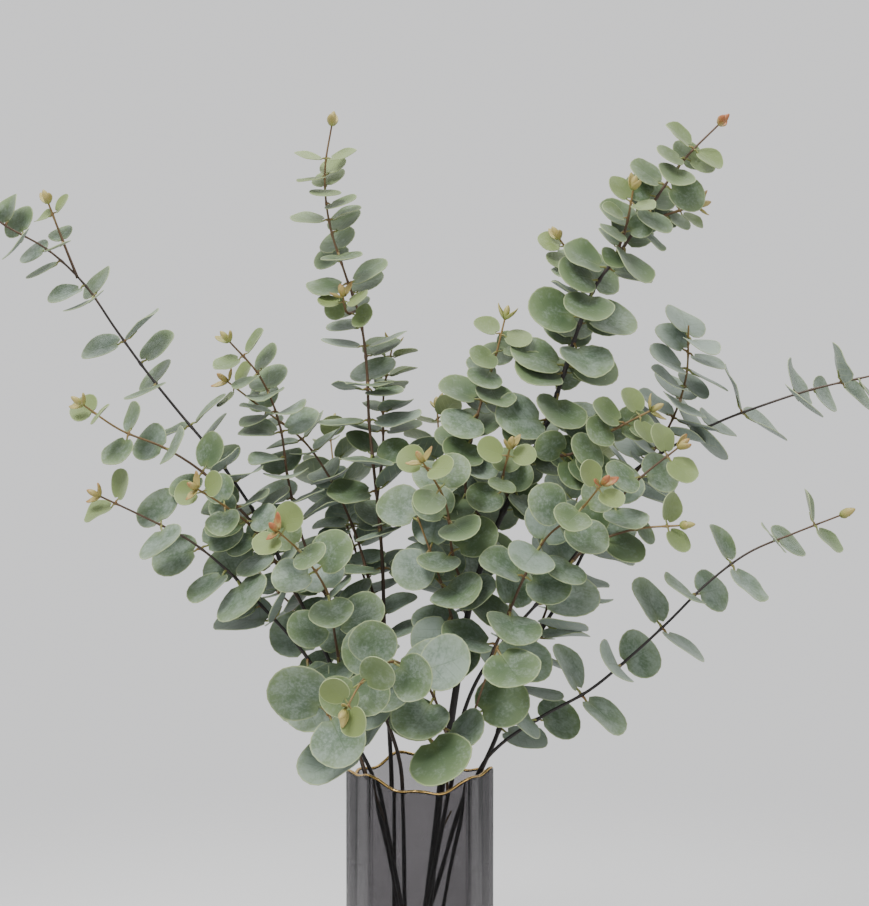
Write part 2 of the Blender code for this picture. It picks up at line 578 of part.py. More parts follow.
def add_tip(name, twig, home):
    """Two small leaves in one strip across the end of a twig, and a bud."""
    line = twig["line"]
    along = line.direction(line.length)
    place = line.at(line.length - 1.5 * MM)
    turn = random.Random(name + " tip").uniform(0, math.pi)
    length, width = TIP_LEAF
    pair = bmesh.new()
    outline = ((-1, 0), (0, 0.45), (1, 0), (0, -0.45))
    rim = [pair.verts.new((x * length, y * width, abs(x) * length * 0.9)) for x, y in outline]
    pair.faces.new((rim[0], rim[1], rim[3]))
    pair.faces.new((rim[1], rim[2], rim[3]))
    bmesh.ops.solidify(pair, geom=pair.faces[:], thickness=BLADE)
    pair.transform(leaf_matrix(place, along, turn, 0, 0))
    add_mesh_object(name + "_tip_leaves", pair, home)
    bud = bmesh.new()
    bmesh.ops.create_uvsphere(bud, u_segments=4, v_segments=3, radius=1)
    bud.transform(Matrix.Diagonal((BUD_RADIUS, BUD_RADIUS, BUD_LENGTH / 2, 1)))
    turned = along.to_track_quat("Z", "Y").to_matrix().to_4x4()
    turned.translation = line.at(line.length) + along * BUD_LENGTH * 0.3
    bud.transform(turned)
    add_mesh_object(name + "_bud", bud, home)


def fuse(base, others):
    """Joins every object of a collection to the base, and removes them."""
    join = base.modifiers.new("join", "BOOLEAN")
    join.operation = "UNION"
    join.operand_type = "COLLECTION"
    join.collection = others
    join.solver = "MANIFOLD"
    bpy.context.view_layer.objects.active = base
    bpy.ops.object.modifier_apply(modifier="join")
    for other in list(others.objects):
        bpy.data.objects.remove(other)


def add_stem(name, twigs, leaves, home, green):
    """One main stem with its twigs, leaves and tips, fused into one body."""
    others = collection(name + "_pieces")
    base = None
    for twig_name, twig in twigs.items():
        if twig["stem"] != name:
            continue
        line = twig["line"]
        radii = [twig_radius(twig, mark) for mark in line.marks]
        tube = add_tube(twig_name, line.points, radii, 1 if twig_name == name else 0)
        if base is None:
            base = tube
            home.objects.link(base)
        else:
            others.objects.link(tube)
        if twig["rule"]["leaf"] and not twig["rule"].get("trimmed"):
            add_tip(twig_name, twig, others)
    for leaf in leaves:
        if twigs[leaf["twig"]]["stem"] != name:
            continue
        corners = 5 if leaf["width"] < SMALL_LEAF else 6
        shape = leaf_shape(leaf["width"], leaf["length"], leaf["root"], leaf["reach"], leaf["bend"], corners)
        shape.transform(leaf["matrix"])
        add_mesh_object("leaf", shape, others)
    fuse(base, others)
    bpy.data.collections.remove(others)
    base.name = name
    base.data.materials.append(green)
    return base


def main():
    clear_scene()
    home = collection("eucalyptus_in_vase")
    glass = material("smoked_glass", (0.10, 0.10, 0.11), 0.05)
    gold = material("gilt", (0.72, 0.50, 0.20), 0.25, 1.0)
    green = material("eucalyptus", (0.22, 0.31, 0.24), 0.6)
    holders = [add_vase(home, glass), add_gilt(home, gold)]
    twigs = twig_lines()
    leaves = settle_leaves(twigs, holders)
    for name in STEMS:
        add_stem(name, twigs, leaves, home, green)
    print(len(leaves), "leaves")


main()
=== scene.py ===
"""The looks of eucalyptus branches in a smoked-glass vase, over the frame that the CAD model gives.

Metres, +Z up, -Y is the front. The pieces come in the order in which the thing is put together: the glass vase,
the gilding on its lip, the woody stems that stand in it, their leaves, and the young growth at their tips.
"""

import math
import random

import bmesh
import bpy
import numpy as np
from mathutils import Matrix, Vector
from mathutils.bvhtree import BVHTree
from mathutils.kdtree import KDTree


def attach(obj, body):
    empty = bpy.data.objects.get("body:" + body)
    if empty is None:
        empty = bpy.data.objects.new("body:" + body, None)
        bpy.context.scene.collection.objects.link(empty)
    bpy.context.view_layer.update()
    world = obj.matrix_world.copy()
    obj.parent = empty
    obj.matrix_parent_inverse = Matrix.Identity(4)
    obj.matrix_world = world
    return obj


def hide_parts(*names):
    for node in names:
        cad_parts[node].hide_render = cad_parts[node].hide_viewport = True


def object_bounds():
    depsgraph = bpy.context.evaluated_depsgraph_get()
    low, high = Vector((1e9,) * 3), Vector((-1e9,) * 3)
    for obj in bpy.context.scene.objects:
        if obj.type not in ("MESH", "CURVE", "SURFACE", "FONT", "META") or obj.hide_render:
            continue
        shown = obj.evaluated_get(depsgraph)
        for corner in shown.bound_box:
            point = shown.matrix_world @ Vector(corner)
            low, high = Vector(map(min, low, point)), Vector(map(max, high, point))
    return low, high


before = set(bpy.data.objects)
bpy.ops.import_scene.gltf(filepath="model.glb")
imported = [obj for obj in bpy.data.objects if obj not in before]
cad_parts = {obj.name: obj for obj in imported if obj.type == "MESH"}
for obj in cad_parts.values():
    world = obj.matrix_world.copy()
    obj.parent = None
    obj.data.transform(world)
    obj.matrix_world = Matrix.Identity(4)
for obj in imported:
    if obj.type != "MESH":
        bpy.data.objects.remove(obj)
cad_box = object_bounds()

CM = 0.01
MM = 0.001


# The vase: a mould-blown cylinder of grey smoked glass with nine hollow flutes, a thick foot and a mouth cut
# to a wave. Its lip is fire-polished round.

VASE_RADIUS = 61 * MM
VASE_HEIGHT = 256 * MM
VASE_WALL = 3.6 * MM
VASE_FLOOR = 10 * MM
FLUTES = 9
FLUTE_DEPTH = 3 * MM
RIDGE_SOFTNESS = 0.07
STEPS_PER_FLUTE = 20
LIP_BROAD_WAVE = 5.5 * MM
LIP_BROAD_LOBES = 3
LIP_BROAD_TURN = math.radians(65)
LIP_FINE_WAVE = 2.2 * MM
LIP_ROUND = 1.3 * MM
FOOT_ROUND = 2.5 * MM
SMOKED_GLASS = (0.85, 0.84, 0.85, 1)
SMOKE = (0.50, 0.49, 0.498, 1)
SMOKE_DENSITY = 520
GLASS_IOR = 1.47
GLASS_SHINE = (0.30, 0.30, 0.30, 1)


class Socket:
    """A socket of a material's nodes. Python's operators on it add Math nodes."""

    def __init__(self, tree, output=None):
        self.tree = tree
        self.output = output

    def node(self, kind, settings, values, out=0):
        """Any node: its settings are made first, then its sockets are given values or links."""
        made = self.tree.nodes.new("ShaderNode" + kind)
        for name, value in settings.items():
            if name == "stops":
                ramp = made.color_ramp.elements
                while len(ramp) < len(value):
                    ramp.new(0.5)
                for stop, (place, colour) in zip(ramp, value):
                    stop.position = place
                    stop.color = colour
            else:
                setattr(made, name, value)
        for name, value in values.items():
            if isinstance(value, Socket):
                self.tree.links.new(value.output, made.inputs[name])
            else:
                made.inputs[name].default_value = value
        return Socket(self.tree, made.outputs[out])

    def math(self, operation, *values):
        return self.node("Math", {"operation": operation}, dict(enumerate(values)))

    def blend(self, factor, first, second):
        """From one colour to another."""
        return self.node("Mix", {"data_type": "RGBA"}, {0: factor, 6: first, 7: second}, out=2)

    def rise(self, low, high):
        """0 below the low value, 1 above the high one, smooth between."""
        settings = {"interpolation_type": "SMOOTHSTEP"}
        return self.node("MapRange", settings, {"Value": self, "From Min": low, "From Max": high})

    def __add__(self, other):
        return self.math("ADD", self, other)

    def __sub__(self, other):
        return self.math("SUBTRACT", self, other)

    def __mul__(self, other):
        return self.math("MULTIPLY", self, other)

    def __truediv__(self, other):
        return self.math("DIVIDE", self, other)

    def __pow__(self, other):
        return self.math("POWER", self, other)

    def __rsub__(self, other):
        return self.math("SUBTRACT", other, self)

    def __abs__(self):
        return self.math("ABSOLUTE", self)

    __radd__ = __add__
    __rmul__ = __mul__


def new_material(name):
    """A material and its shader's tree, emptied of all but the output."""
    made = bpy.data.materials.new(name)
    made.use_nodes = True
    made.node_tree.nodes.remove(made.node_tree.nodes["Principled BSDF"])
    return made, Socket(made.node_tree)


def finish_material(made, surface):
    made.node_tree.links.new(surface.output, made.node_tree.nodes["Material Output"].inputs["Surface"])
    return made


def flute_radius(turn, inset=0.0):
    """The outer radius at an angle from a ridge, the ridge itself a little rounded."""
    across = (FLUTES * turn / math.tau) % 1.0
    from_ridge = 1 - abs(2 * across - 1)
    from_ridge = math.hypot(from_ridge, RIDGE_SOFTNESS) - RIDGE_SOFTNESS
    from_middle = 1 - from_ridge
    return VASE_RADIUS - inset - FLUTE_DEPTH * (1 - from_middle * from_middle)


def lip_height(turn):
    broad = LIP_BROAD_WAVE * math.cos(LIP_BROAD_LOBES * (turn - LIP_BROAD_TURN))
    fine = LIP_FINE_WAVE * math.cos(FLUTES * turn)
    return VASE_HEIGHT + broad + fine


def turn_at(place):
    """The angle round the vase from its front ridge."""
    return math.atan2(place.x, -place.y)


def only_active(thing):
    bpy.ops.object.select_all(action="DESELECT")
    thing.select_set(True)
    bpy.context.view_layer.objects.active = thing


def settle(thing, smooth_angle=None):
    """Applies a piece's place and modifiers and smooths its faces."""
    only_active(thing)
    for modifier in list(thing.modifiers):
        bpy.ops.object.modifier_apply(modifier=modifier.name)
    bpy.ops.object.transform_apply(location=True, rotation=True, scale=True)
    if smooth_angle is None:
        bpy.ops.object.shade_smooth()
    else:
        bpy.ops.object.shade_smooth_by_angle(angle=math.radians(smooth_angle))


bpy.ops.object.select_all(action="DESELECT")
bpy.ops.mesh.primitive_cylinder_add(vertices=FLUTES * STEPS_PER_FLUTE, radius=VASE_RADIUS, depth=VASE_HEIGHT,
                                    location=(0, 0, VASE_HEIGHT / 2), end_fill_type="NGON")
vase = bpy.context.object
vase.name = "glass_vase"
settle(vase)
bpy.ops.object.mode_set(mode="EDIT")
bpy.ops.mesh.select_mode(type="FACE")
bpy.ops.mesh.select_all(action="DESELECT")
edit = bmesh.from_edit_mesh(vase.data)
for face in edit.faces:
    face.select_set(face.normal.z > 0.9)
bmesh.update_edit_mesh(vase.data)
bpy.ops.mesh.inset(thickness=VASE_WALL)
bpy.ops.mesh.extrude_region_move(TRANSFORM_OT_translate={"value": (0, 0, VASE_FLOOR - VASE_HEIGHT)})
bpy.ops.object.mode_set(mode="OBJECT")
for corner in vase.data.vertices:
    inside = corner.co.xy.length < VASE_RADIUS - VASE_WALL / 2
    turn = turn_at(corner.co)
    around = corner.co.xy.normalized() * flute_radius(turn, VASE_WALL if inside else 0)
    height = lip_height(turn) if corner.co.z > VASE_HEIGHT / 2 else corner.co.z
    corner.co = (around.x, around.y, height)
bpy.ops.object.mode_set(mode="EDIT")
bpy.ops.mesh.select_mode(type="EDGE")
for at_lip, width in ((True, LIP_ROUND), (False, FOOT_ROUND)):
    bpy.ops.mesh.select_all(action="DESELECT")
    edit = bmesh.from_edit_mesh(vase.data)
    for edge in edit.edges:
        low, high = sorted(end.co.z for end in edge.verts)
        level = high - low < 1.5 * MM
        wide = edge.verts[0].co.xy.length > VASE_RADIUS - FLUTE_DEPTH - VASE_WALL / 2
        edge.select_set(level and ((low > VASE_HEIGHT / 2) if at_lip else (high < 1 * MM and wide)))
    for edge in edit.edges:
        if at_lip and edge.select and len({round(end.co.xy.length - flute_radius(turn_at(end.co)), 4)
                                           for end in edge.verts}) > 1:
            edge.select_set(False)
    bmesh.update_edit_mesh(vase.data)
    bpy.ops.mesh.bevel(offset=width, segments=4, affect="EDGES", clamp_overlap=True)
bpy.ops.object.mode_set(mode="OBJECT")
settle(vase, 35)

smoked_glass, shade = new_material("smoked_glass")
grey = shade.node("BsdfPrincipled", {}, {"Base Color": SMOKED_GLASS, "Roughness": 0.02,
                                         "Transmission Weight": 1.0, "IOR": GLASS_IOR,
                                         "Specular Tint": GLASS_SHINE})
vase.data.materials.clear()
vase.data.materials.append(finish_material(smoked_glass, grey))
depth = shade.node("VolumeAbsorption", {}, {"Color": SMOKE, "Density": SMOKE_DENSITY})
shade.tree.links.new(depth.output, shade.tree.nodes["Material Output"].inputs["Volume"])
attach(vase, "root")
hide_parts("vase")


# The gilding: liquid gold brushed on the cut lip and fired. It follows the wave, a little uneven in width.

GILT_RADIUS = 1.25 * MM
GILT_SINK = 0.25 * MM
GILT_STEPS = 180
GOLD = (0.60, 0.40, 0.15, 1)
GOLD_WORN = (0.34, 0.22, 0.09, 1)


def add_line(name, points, radii, closed, sides):
    """A round rod along a line of points, thicker or thinner as the radii say, made a mesh."""
    bpy.ops.object.select_all(action="DESELECT")
    bpy.ops.curve.primitive_nurbs_path_add(location=(0, 0, 0))
    rod = bpy.context.object
    rod.name = name
    rod.data.splines.clear()
    spline = rod.data.splines.new("POLY")
    spline.points.add(len(points) - 1)
    spline.use_cyclic_u = closed
    for point, place, radius in zip(spline.points, points, radii):
        point.co = (*place, 1)
        point.radius = radius
    rod.data.dimensions = "3D"
    rod.data.twist_mode = "MINIMUM"
    rod.data.bevel_depth = 1
    rod.data.bevel_resolution = (sides - 4) // 2
    rod.data.use_fill_caps = not closed
    bpy.ops.object.convert(target="MESH")
    bpy.ops.object.mode_set(mode="EDIT")
    bpy.ops.mesh.select_all(action="SELECT")
    bpy.ops.mesh.remove_doubles(threshold=0.01 * MM)
    bpy.ops.mesh.normals_make_consistent(inside=False)
    bpy.ops.object.mode_set(mode="OBJECT")
    bpy.ops.object.shade_smooth()
    return rod


lip_points = []
lip_radii = []
brush = random.Random("gilding")
for step in range(GILT_STEPS):
    turn = math.tau * step / GILT_STEPS
    radius = flute_radius(turn, VASE_WALL / 2)
    lip_points.append((radius * math.sin(turn), -radius * math.cos(turn), lip_height(turn) - GILT_SINK))
    lip_radii.append(GILT_RADIUS * brush.uniform(0.94, 1.08))
gilding = add_line("lip_gilding", lip_points, lip_radii, True, 10)
gilt, shade = new_material("gilt")
place = shade.node("TexCoord", {}, {}, out=3)
wear = shade.node("TexNoise", {}, {"Vector": place, "Scale": 260.0, "Detail": 4.0}).rise(0.48, 0.68)
gold = shade.blend(wear, GOLD, GOLD_WORN)
bump = shade.node("Bump", {}, {"Strength": 0.25, "Distance": 0.2 * MM, "Height": wear})
surface = shade.node("BsdfPrincipled", {}, {"Base Color": gold, "Metallic": 1.0, "Roughness": wear * 0.18 + 0.2,
                                            "Normal": bump})
gilding.data.materials.append(finish_material(gilt, surface))
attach(gilding, "root")
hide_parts("gilt_lip")


# The stems: eight woody branches that stand on the vase's floor and lean on its lip, each with its side twigs.
# The wood is near black at the cut foot and turns red-brown and then olive toward the thin ends. It swells at
# every pair of leaves.

EYE_DISTANCE = 1.5
EYE_SIDE = 0.012
EYE_HEIGHT = 0.56
CLEAR = 0.35 * MM
ROUTE_STEP = 42 * MM
TIP_RADIUS = 0.75 * MM
TWIG_RADIUS = 1.35 * MM
WOOD_STEP = 3.5 * MM
KNOT_SWELL = 0.45
KNOT_REACH = 1.8 * MM
OLD_BARK = (0.014, 0.010, 0.009, 1)
BROWN_BARK = (0.080, 0.042, 0.018, 1)
YOUNG_BARK = (0.185, 0.118, 0.034, 1)
BROWN_STEMS = ("stem_tall_left", "stem_upper_left")

# Each main stem: its foot in the vase (across, toward the front), its radius there, and its route above.
# A route's points are (across, up, toward the front) in centimetres, as the eye sees them on the mid plane.
STEMS = {
    "stem_far_left": {
        "foot": (1.2, -2.6),
        "radius": 2.6 * MM,
        "route": [(-4.3, 24.8, 0.6), (-6.0, 30.4, 0.8), (-7.5, 35.2, 0.6), (-9.4, 38.8, 0.2),
                  (-13.0, 46.1, -0.5), (-16.8, 51.7, -1.0), (-21.5, 57.4, -1.4), (-26.4, 64.2, -0.8),
                  (-28.6, 67.4, -0.4), (-31.4, 68.8, 0.4), (-33.6, 70.2, 1.0), (-37.4, 73.2, 1.8)],
        "leaf": 38 * MM, "gap": 26 * MM, "spacing": 36 * MM, "phase": 70, "bare": 0.34, "twigs": {
            "far_left_fork": {"at": 0.862, "leaf": 26 * MM, "gap": 13 * MM, "spacing": 24 * MM, "phase": 80,
                              "route": [(-29.4, 70.0, 0.0), (-29.8, 71.3, 0.4), (-30.3, 72.4, 0.8)]},
            "far_left_lower": {"at": 0.545, "leaf": 37 * MM, "gap": 15 * MM, "spacing": 32 * MM, "phase": 15,
                               "route": [(-17.9, 50.4, 1.0), (-20.8, 52.2, 2.0), (-23.5, 53.2, 3.0),
                                         (-26.1, 54.7, 3.8), (-27.7, 55.9, 4.4)]},
            "far_left_inner": {"at": 0.475, "leaf": 36 * MM, "gap": 10 * MM, "spacing": 27 * MM, "phase": 60,
                               "route": [(-13.0, 44.8, 1.2), (-14.3, 46.3, 2.4), (-15.7, 47.3, 3.8),
                                         (-17.2, 48.3, 5.4), (-18.4, 49.0, 6.8)]},
        },
    },
    "stem_left_low": {
        "foot": (1.4, 2.4),
        "radius": 2.6 * MM,
        "route": [(-3.7, 24.8, 2.3), (-5.6, 28.7, 3.0), (-7.6, 32.5, 3.2), (-9.8, 35.8, 2.8),
                  (-11.4, 37.6, 2.4), (-13.8, 40.2, 2.0), (-17.0, 43.4, 2.0), (-19.1, 44.8, 2.2),
                  (-22.2, 46.4, 2.8), (-24.2, 47.4, 3.2), (-26.4, 48.4, 3.8)],
        "leaf": 52 * MM, "gap": 17 * MM, "spacing": 37 * MM, "phase": 75, "bare": 0.40, "twigs": {
            "left_base": {"at": 0.36, "leaf": 54 * MM, "gap": 3 * MM, "spacing": 28 * MM, "phase": 40,
                          "trimmed": 120 * MM, "to_light": 0.6,
                          "route": [(-6.9, 32.4, 4.2), (-7.8, 32.6, 5.4), (-8.1, 31.6, 6.8),
                                    (-7.6, 30.3, 8.0)]},
            "left_front": {"at": 0.50, "leaf": 44 * MM, "gap": 9 * MM, "spacing": 25 * MM, "phase": 100,
                           "route": [(-6.9, 36.4, 5.0), (-7.2, 39.3, 6.6), (-8.3, 41.8, 8.2),
                                     (-9.6, 43.5, 9.8), (-10.9, 44.7, 11.2), (-11.8, 45.6, 12.4)]},
        },
    },
    "stem_tall_left": {
        "foot": (-2.2, -1.8),
        "radius": 2.8 * MM,
        "route": [(-2.3, 23.4, -1.5), (-2.6, 30.8, -1.2), (-2.9, 37.5, -1.2), (-3.1, 43.6, -1.4),
                  (-3.6, 49.3, -1.6), (-4.1, 53.0, -1.8), (-4.2, 57.0, -1.8), (-4.7, 62.0, -1.4),
                  (-5.9, 65.9, -0.8), (-7.1, 69.3, -0.2), (-7.7, 73.2, 0.4), (-7.6, 75.7, 0.8),
                  (-7.1, 78.7, 1.2)],
        "leaf": 46 * MM, "gap": 30 * MM, "spacing": 25 * MM, "phase": 90, "bare": 0.50, "growth": 170 * MM,
        "twigs": {
            "tall_left_fork": {"at": 0.80, "leaf": 24 * MM, "gap": 8 * MM, "spacing": 18 * MM, "phase": 60,
                               "route": [(-6.0, 63.3, 0.6), (-6.3, 64.8, 1.4)]},
            "tall_left_back": {"at": 0.60, "leaf": 40 * MM, "gap": 12 * MM, "spacing": 30 * MM, "phase": 70,
                               "route": [(-3.0, 51.6, -3.0), (-3.2, 54.5, -3.8), (-2.8, 57.4, -4.6),
                                         (-2.2, 60.7, -5.4)]},
            "tall_left_side": {"at": 0.46, "leaf": 36 * MM, "gap": 12 * MM, "spacing": 34 * MM, "phase": 80,
                               "route": [(-4.6, 42.9, -3.2), (-6.0, 47.2, -3.6), (-8.7, 51.9, -3.8),
                                         (-10.1, 53.2, -3.8), (-12.4, 55.1, -3.2), (-14.4, 56.5, -2.2),
                                         (-15.9, 57.8, -1.2)]},
            "left_back": {"at": 0.44, "leaf": 46 * MM, "gap": 14 * MM, "spacing": 40 * MM, "phase": 20,
                          "route": [(-4.4, 41.2, -5.4), (-6.0, 46.0, -8.4), (-7.0, 50.5, -11.0),
                                    (-7.4, 54.1, -13.0)]},
        },
    },
    "stem_upper_left": {
        "foot": (-1.0, 2.3),
        "radius": 2.5 * MM,
        "route": [(-1.4, 23.0, 1.0), (-2.0, 27.5, 1.0), (-3.4, 31.6, 0.7), (-5.4, 35.8, 0.2),
                  (-8.0, 40.8, -1.0), (-9.6, 44.9, -1.6), (-10.5, 48.3, -2.0), (-11.0, 51.2, -2.0),
                  (-11.4, 54.0, -1.6), (-12.6, 57.3, -0.8), (-14.4, 59.8, 0.2), (-15.7, 61.1, 0.8)],
        "leaf": 42 * MM, "gap": 20 * MM, "spacing": 34 * MM, "phase": 85, "bare": 0.52, "twigs": {
            "left_rear": {"at": 0.47, "leaf": 44 * MM, "gap": 14 * MM, "spacing": 46 * MM, "phase": 50,
                          "route": [(-8.6, 37.5, -3.4), (-11.4, 40.2, -6.2), (-14.0, 43.1, -8.6),
                                    (-16.0, 46.2, -10.4)]},
        },
    },
    "stem_tall_right": {
        "foot": (-0.9, 0.4),
        "radius": 4.9 * MM,
        "route": [(1.6, 23.2, 1.0), (2.2, 27.5, 1.2), (3.1, 33.3, 1.4), (3.7, 37.5, 1.4),
                  (4.8, 41.9, 1.2), (6.2, 45.6, 1.0), (7.9, 49.3, 0.8), (9.8, 53.0, 0.8),
                  (11.0, 55.9, 1.0), (12.4, 60.5, 1.4), (14.8, 66.5, 2.2), (16.6, 68.6, 2.6),
                  (18.0, 70.0, 2.8), (19.2, 72.6, 3.2), (20.9, 75.0, 3.6), (23.4, 77.6, 4.2),
                  (24.5, 78.7, 4.4)],
        "leaf": 48 * MM, "gap": 30 * MM, "spacing": 18 * MM, "phase": 80, "bare": 0.46, "growth": 100 * MM,
        "to_light": 0.8, "twigs": {
            "tall_right_fork": {"at": 0.865, "leaf": 34 * MM, "gap": 20 * MM, "spacing": 22 * MM,
                                "phase": 80,
                                "route": [(20.1, 71.2, 2.2), (21.8, 71.8, 1.8), (22.9, 72.0, 1.6)]},
            "tall_right_front": {"at": 0.835, "leaf": 34 * MM, "gap": 14 * MM, "spacing": 24 * MM,
                                 "phase": 60,
                                 "route": [(16.8, 70.3, 4.0), (17.1, 71.9, 4.8), (17.4, 73.5, 5.4)]},
            "tall_right_inner": {"at": 0.775, "leaf": 36 * MM, "gap": 12 * MM, "spacing": 22 * MM,
                                 "phase": 70,
                                 "route": [(13.0, 66.5, 1.0), (12.2, 68.2, 1.4), (11.2, 69.5, 2.0)]},
            "middle_side": {"at": 0.64, "leaf": 45 * MM, "gap": 13 * MM, "spacing": 24 * MM, "phase": 70,
                            "to_light": 0.8,
                            "route": [(10.6, 51.1, 2.6), (13.0, 52.2, 3.2), (14.9, 53.3, 3.8),
                                      (17.0, 54.1, 4.4), (19.1, 55.4, 5.0)]},
            "middle_tip": {"at": 0.58, "leaf": 38 * MM, "gap": 10 * MM, "spacing": 20 * MM, "phase": 100,
                           "route": [(6.5, 48.3, 2.8), (7.0, 50.3, 4.2), (7.4, 52.4, 5.4)]},
            "middle_upper": {"at": 0.545, "leaf": 44 * MM, "gap": 16 * MM, "spacing": 26 * MM, "phase": 80,
                             "to_light": 0.8,
                             "route": [(4.2, 46.8, 1.6), (3.8, 50.3, 1.6), (4.4, 53.4, 1.2),
                                       (5.5, 57.9, 0.8), (6.2, 59.6, 0.8), (6.6, 61.1, 0.9),
                                       (7.0, 63.0, 1.2)]},
            "middle_left": {"at": 0.40, "leaf": 48 * MM, "gap": 4 * MM, "spacing": 24 * MM, "phase": 50,
                            "trimmed": 60 * MM, "to_light": 0.75,
                            "route": [(2.6, 38.4, 3.0), (1.6, 41.6, 3.6), (0.6, 44.6, 3.8),
                                      (-0.2, 46.6, 3.6)]},
            "middle_front": {"at": 0.47, "leaf": 44 * MM, "gap": 10 * MM, "spacing": 26 * MM, "phase": 30,
                             "route": [(2.9, 42.4, 3.4), (2.3, 46.8, 5.0), (1.7, 48.9, 6.0),
                                       (0.8, 50.1, 7.0), (0.1, 51.3, 8.0)]},
            "middle_back": {"at": 0.455, "leaf": 46 * MM, "gap": 14 * MM, "spacing": 46 * MM, "phase": 40,
                            "route": [(2.8, 42.4, -3.6), (2.2, 47.4, -7.0), (1.6, 52.4, -10.0),
                                      (1.4, 55.7, -12.0)]},
            "stub": {"at": 0.222, "leaf": 0, "route": [(2.5, 21.8, 1.2), (2.75, 22.1, 1.3)]},
        },
    },
    "stem_right_front": {
        "foot": (-2.6, 3.2),
        "radius": 2.9 * MM,
        "route": [(2.4, 23.8, 3.1), (2.9, 27.5, 3.5), (3.9, 31.6, 3.8), (6.1, 35.4, 4.0),
                  (8.0, 37.7, 4.2), (10.2, 40.2, 4.6), (12.4, 43.1, 5.0), (15.2, 46.8, 5.4),
                  (17.2, 48.8, 5.8), (18.6, 50.4, 6.2), (21.3, 52.4, 7.0)],
        "leaf": 52 * MM, "gap": 14 * MM, "spacing": 28 * MM, "phase": 60, "bare": 0.54, "to_light": 0.7,
        "twigs": {
            "front_base": {"at": 0.40, "leaf": 58 * MM, "gap": 3 * MM, "spacing": 60 * MM, "phase": 10,
                           "trimmed": 150 * MM, "to_light": 0.5,
                           "route": [(1.8, 28.3, 5.6), (0.5, 28.7, 7.6)]},
            "front_low": {"at": 0.44, "leaf": 50 * MM, "gap": 9 * MM, "spacing": 25 * MM, "phase": 70,
                          "bare": 0.12,
                          "route": [(1.5, 31.2, 6.0), (-0.6, 33.9, 8.2), (-2.6, 34.8, 10.6),
                                    (-4.2, 33.7, 13.0), (-5.4, 32.1, 15.0), (-6.2, 30.6, 16.6)]},
            "right_side": {"at": 0.745, "leaf": 42 * MM, "gap": 14 * MM, "spacing": 26 * MM, "phase": 80,
                           "route": [(14.4, 44.7, 6.2), (16.1, 45.4, 6.8), (18.7, 45.6, 7.4),
                                     (21.6, 45.9, 8.0)]},
            "right_base": {"at": 0.43, "leaf": 52 * MM, "gap": 3 * MM, "spacing": 60 * MM, "phase": 30,
                           "trimmed": 120 * MM, "to_light": 0.6,
                           "route": [(5.4, 33.4, 6.2), (6.0, 34.6, 7.6), (6.4, 36.0, 8.6)]},
            "right_bloom": {"at": 0.60, "leaf": 46 * MM, "gap": 9 * MM, "spacing": 27 * MM, "phase": 75,
                            "route": [(8.6, 41.8, 6.2), (10.2, 44.7, 7.4), (11.8, 46.0, 9.0),
                                      (13.6, 47.6, 11.0), (15.0, 49.4, 12.8)]},
        },
    },
    "stem_right": {
        "foot": (-4.0, -0.4),
        "radius": 2.8 * MM,
        "route": [(4.6, 24.8, -0.7), (6.1, 28.1, -1.4), (7.1, 31.2, -2.2), (8.4, 34.5, -3.0),
                  (9.8, 37.1, -3.6), (12.0, 40.8, -4.6), (14.4, 45.8, -5.4), (16.4, 49.1, -5.8),
                  (18.3, 51.0, -6.0), (21.9, 53.0, -5.8), (25.6, 54.9, -5.2), (30.0, 56.3, -4.4),
                  (33.3, 57.4, -3.6), (35.9, 57.9, -3.0), (40.2, 58.8, -2.0)],
        "leaf": 48 * MM, "gap": 24 * MM, "spacing": 38 * MM, "phase": 20, "bare": 0.36, "twigs": {
            "right_upper": {"at": 0.625, "leaf": 44 * MM, "gap": 10 * MM, "spacing": 24 * MM, "phase": 15,
                            "trimmed": 70 * MM, "to_light": 0.8,
                            "route": [(20.4, 54.0, -4.4), (21.4, 57.0, -3.6), (22.2, 59.7, -3.0),
                                      (21.9, 62.2, -2.4)]},
            "right_back": {"at": 0.44, "leaf": 46 * MM, "gap": 14 * MM, "spacing": 46 * MM, "phase": 35,
                           "route": [(10.4, 39.1, -7.4), (11.6, 44.1, -10.6), (13.2, 49.1, -13.0),
                                     (14.4, 52.4, -14.4)]},
        },
    },
    "stem_right_low": {
        "foot": (-0.9, -3.8),
        "radius": 2.4 * MM,
        "route": [(4.8, 25.7, 0.7), (6.3, 27.6, 0.8), (9.0, 29.7, 1.0), (12.3, 31.3, 1.2),
                  (15.5, 33.6, 1.6), (18.3, 36.1, 2.0), (21.3, 38.9, 2.2), (23.8, 41.4, 2.2),
                  (26.6, 43.5, 2.0), (30.2, 45.1, 1.6), (33.0, 46.0, 1.2), (34.6, 46.8, 1.0)],
        "leaf": 44 * MM, "gap": 26 * MM, "spacing": 35 * MM, "phase": 75, "bare": 0.48, "twigs": {},
    },
}

# The leaves of the twigs named here take their places first, and the others are turned clear of them.
FRONT_FIRST = ("front_low", "left_front", "right_bloom", "middle_front", "middle_tip")


def seen(across, up, toward):
    """The place that the eye sees at this point of the vase's mid plane, this far toward the front."""
    share = (EYE_DISTANCE - toward * CM) / EYE_DISTANCE
    side = EYE_SIDE + (across * CM - EYE_SIDE) * share
    height = EYE_HEIGHT + (up * CM - EYE_HEIGHT) * share
    return Vector((side, -toward * CM, height))


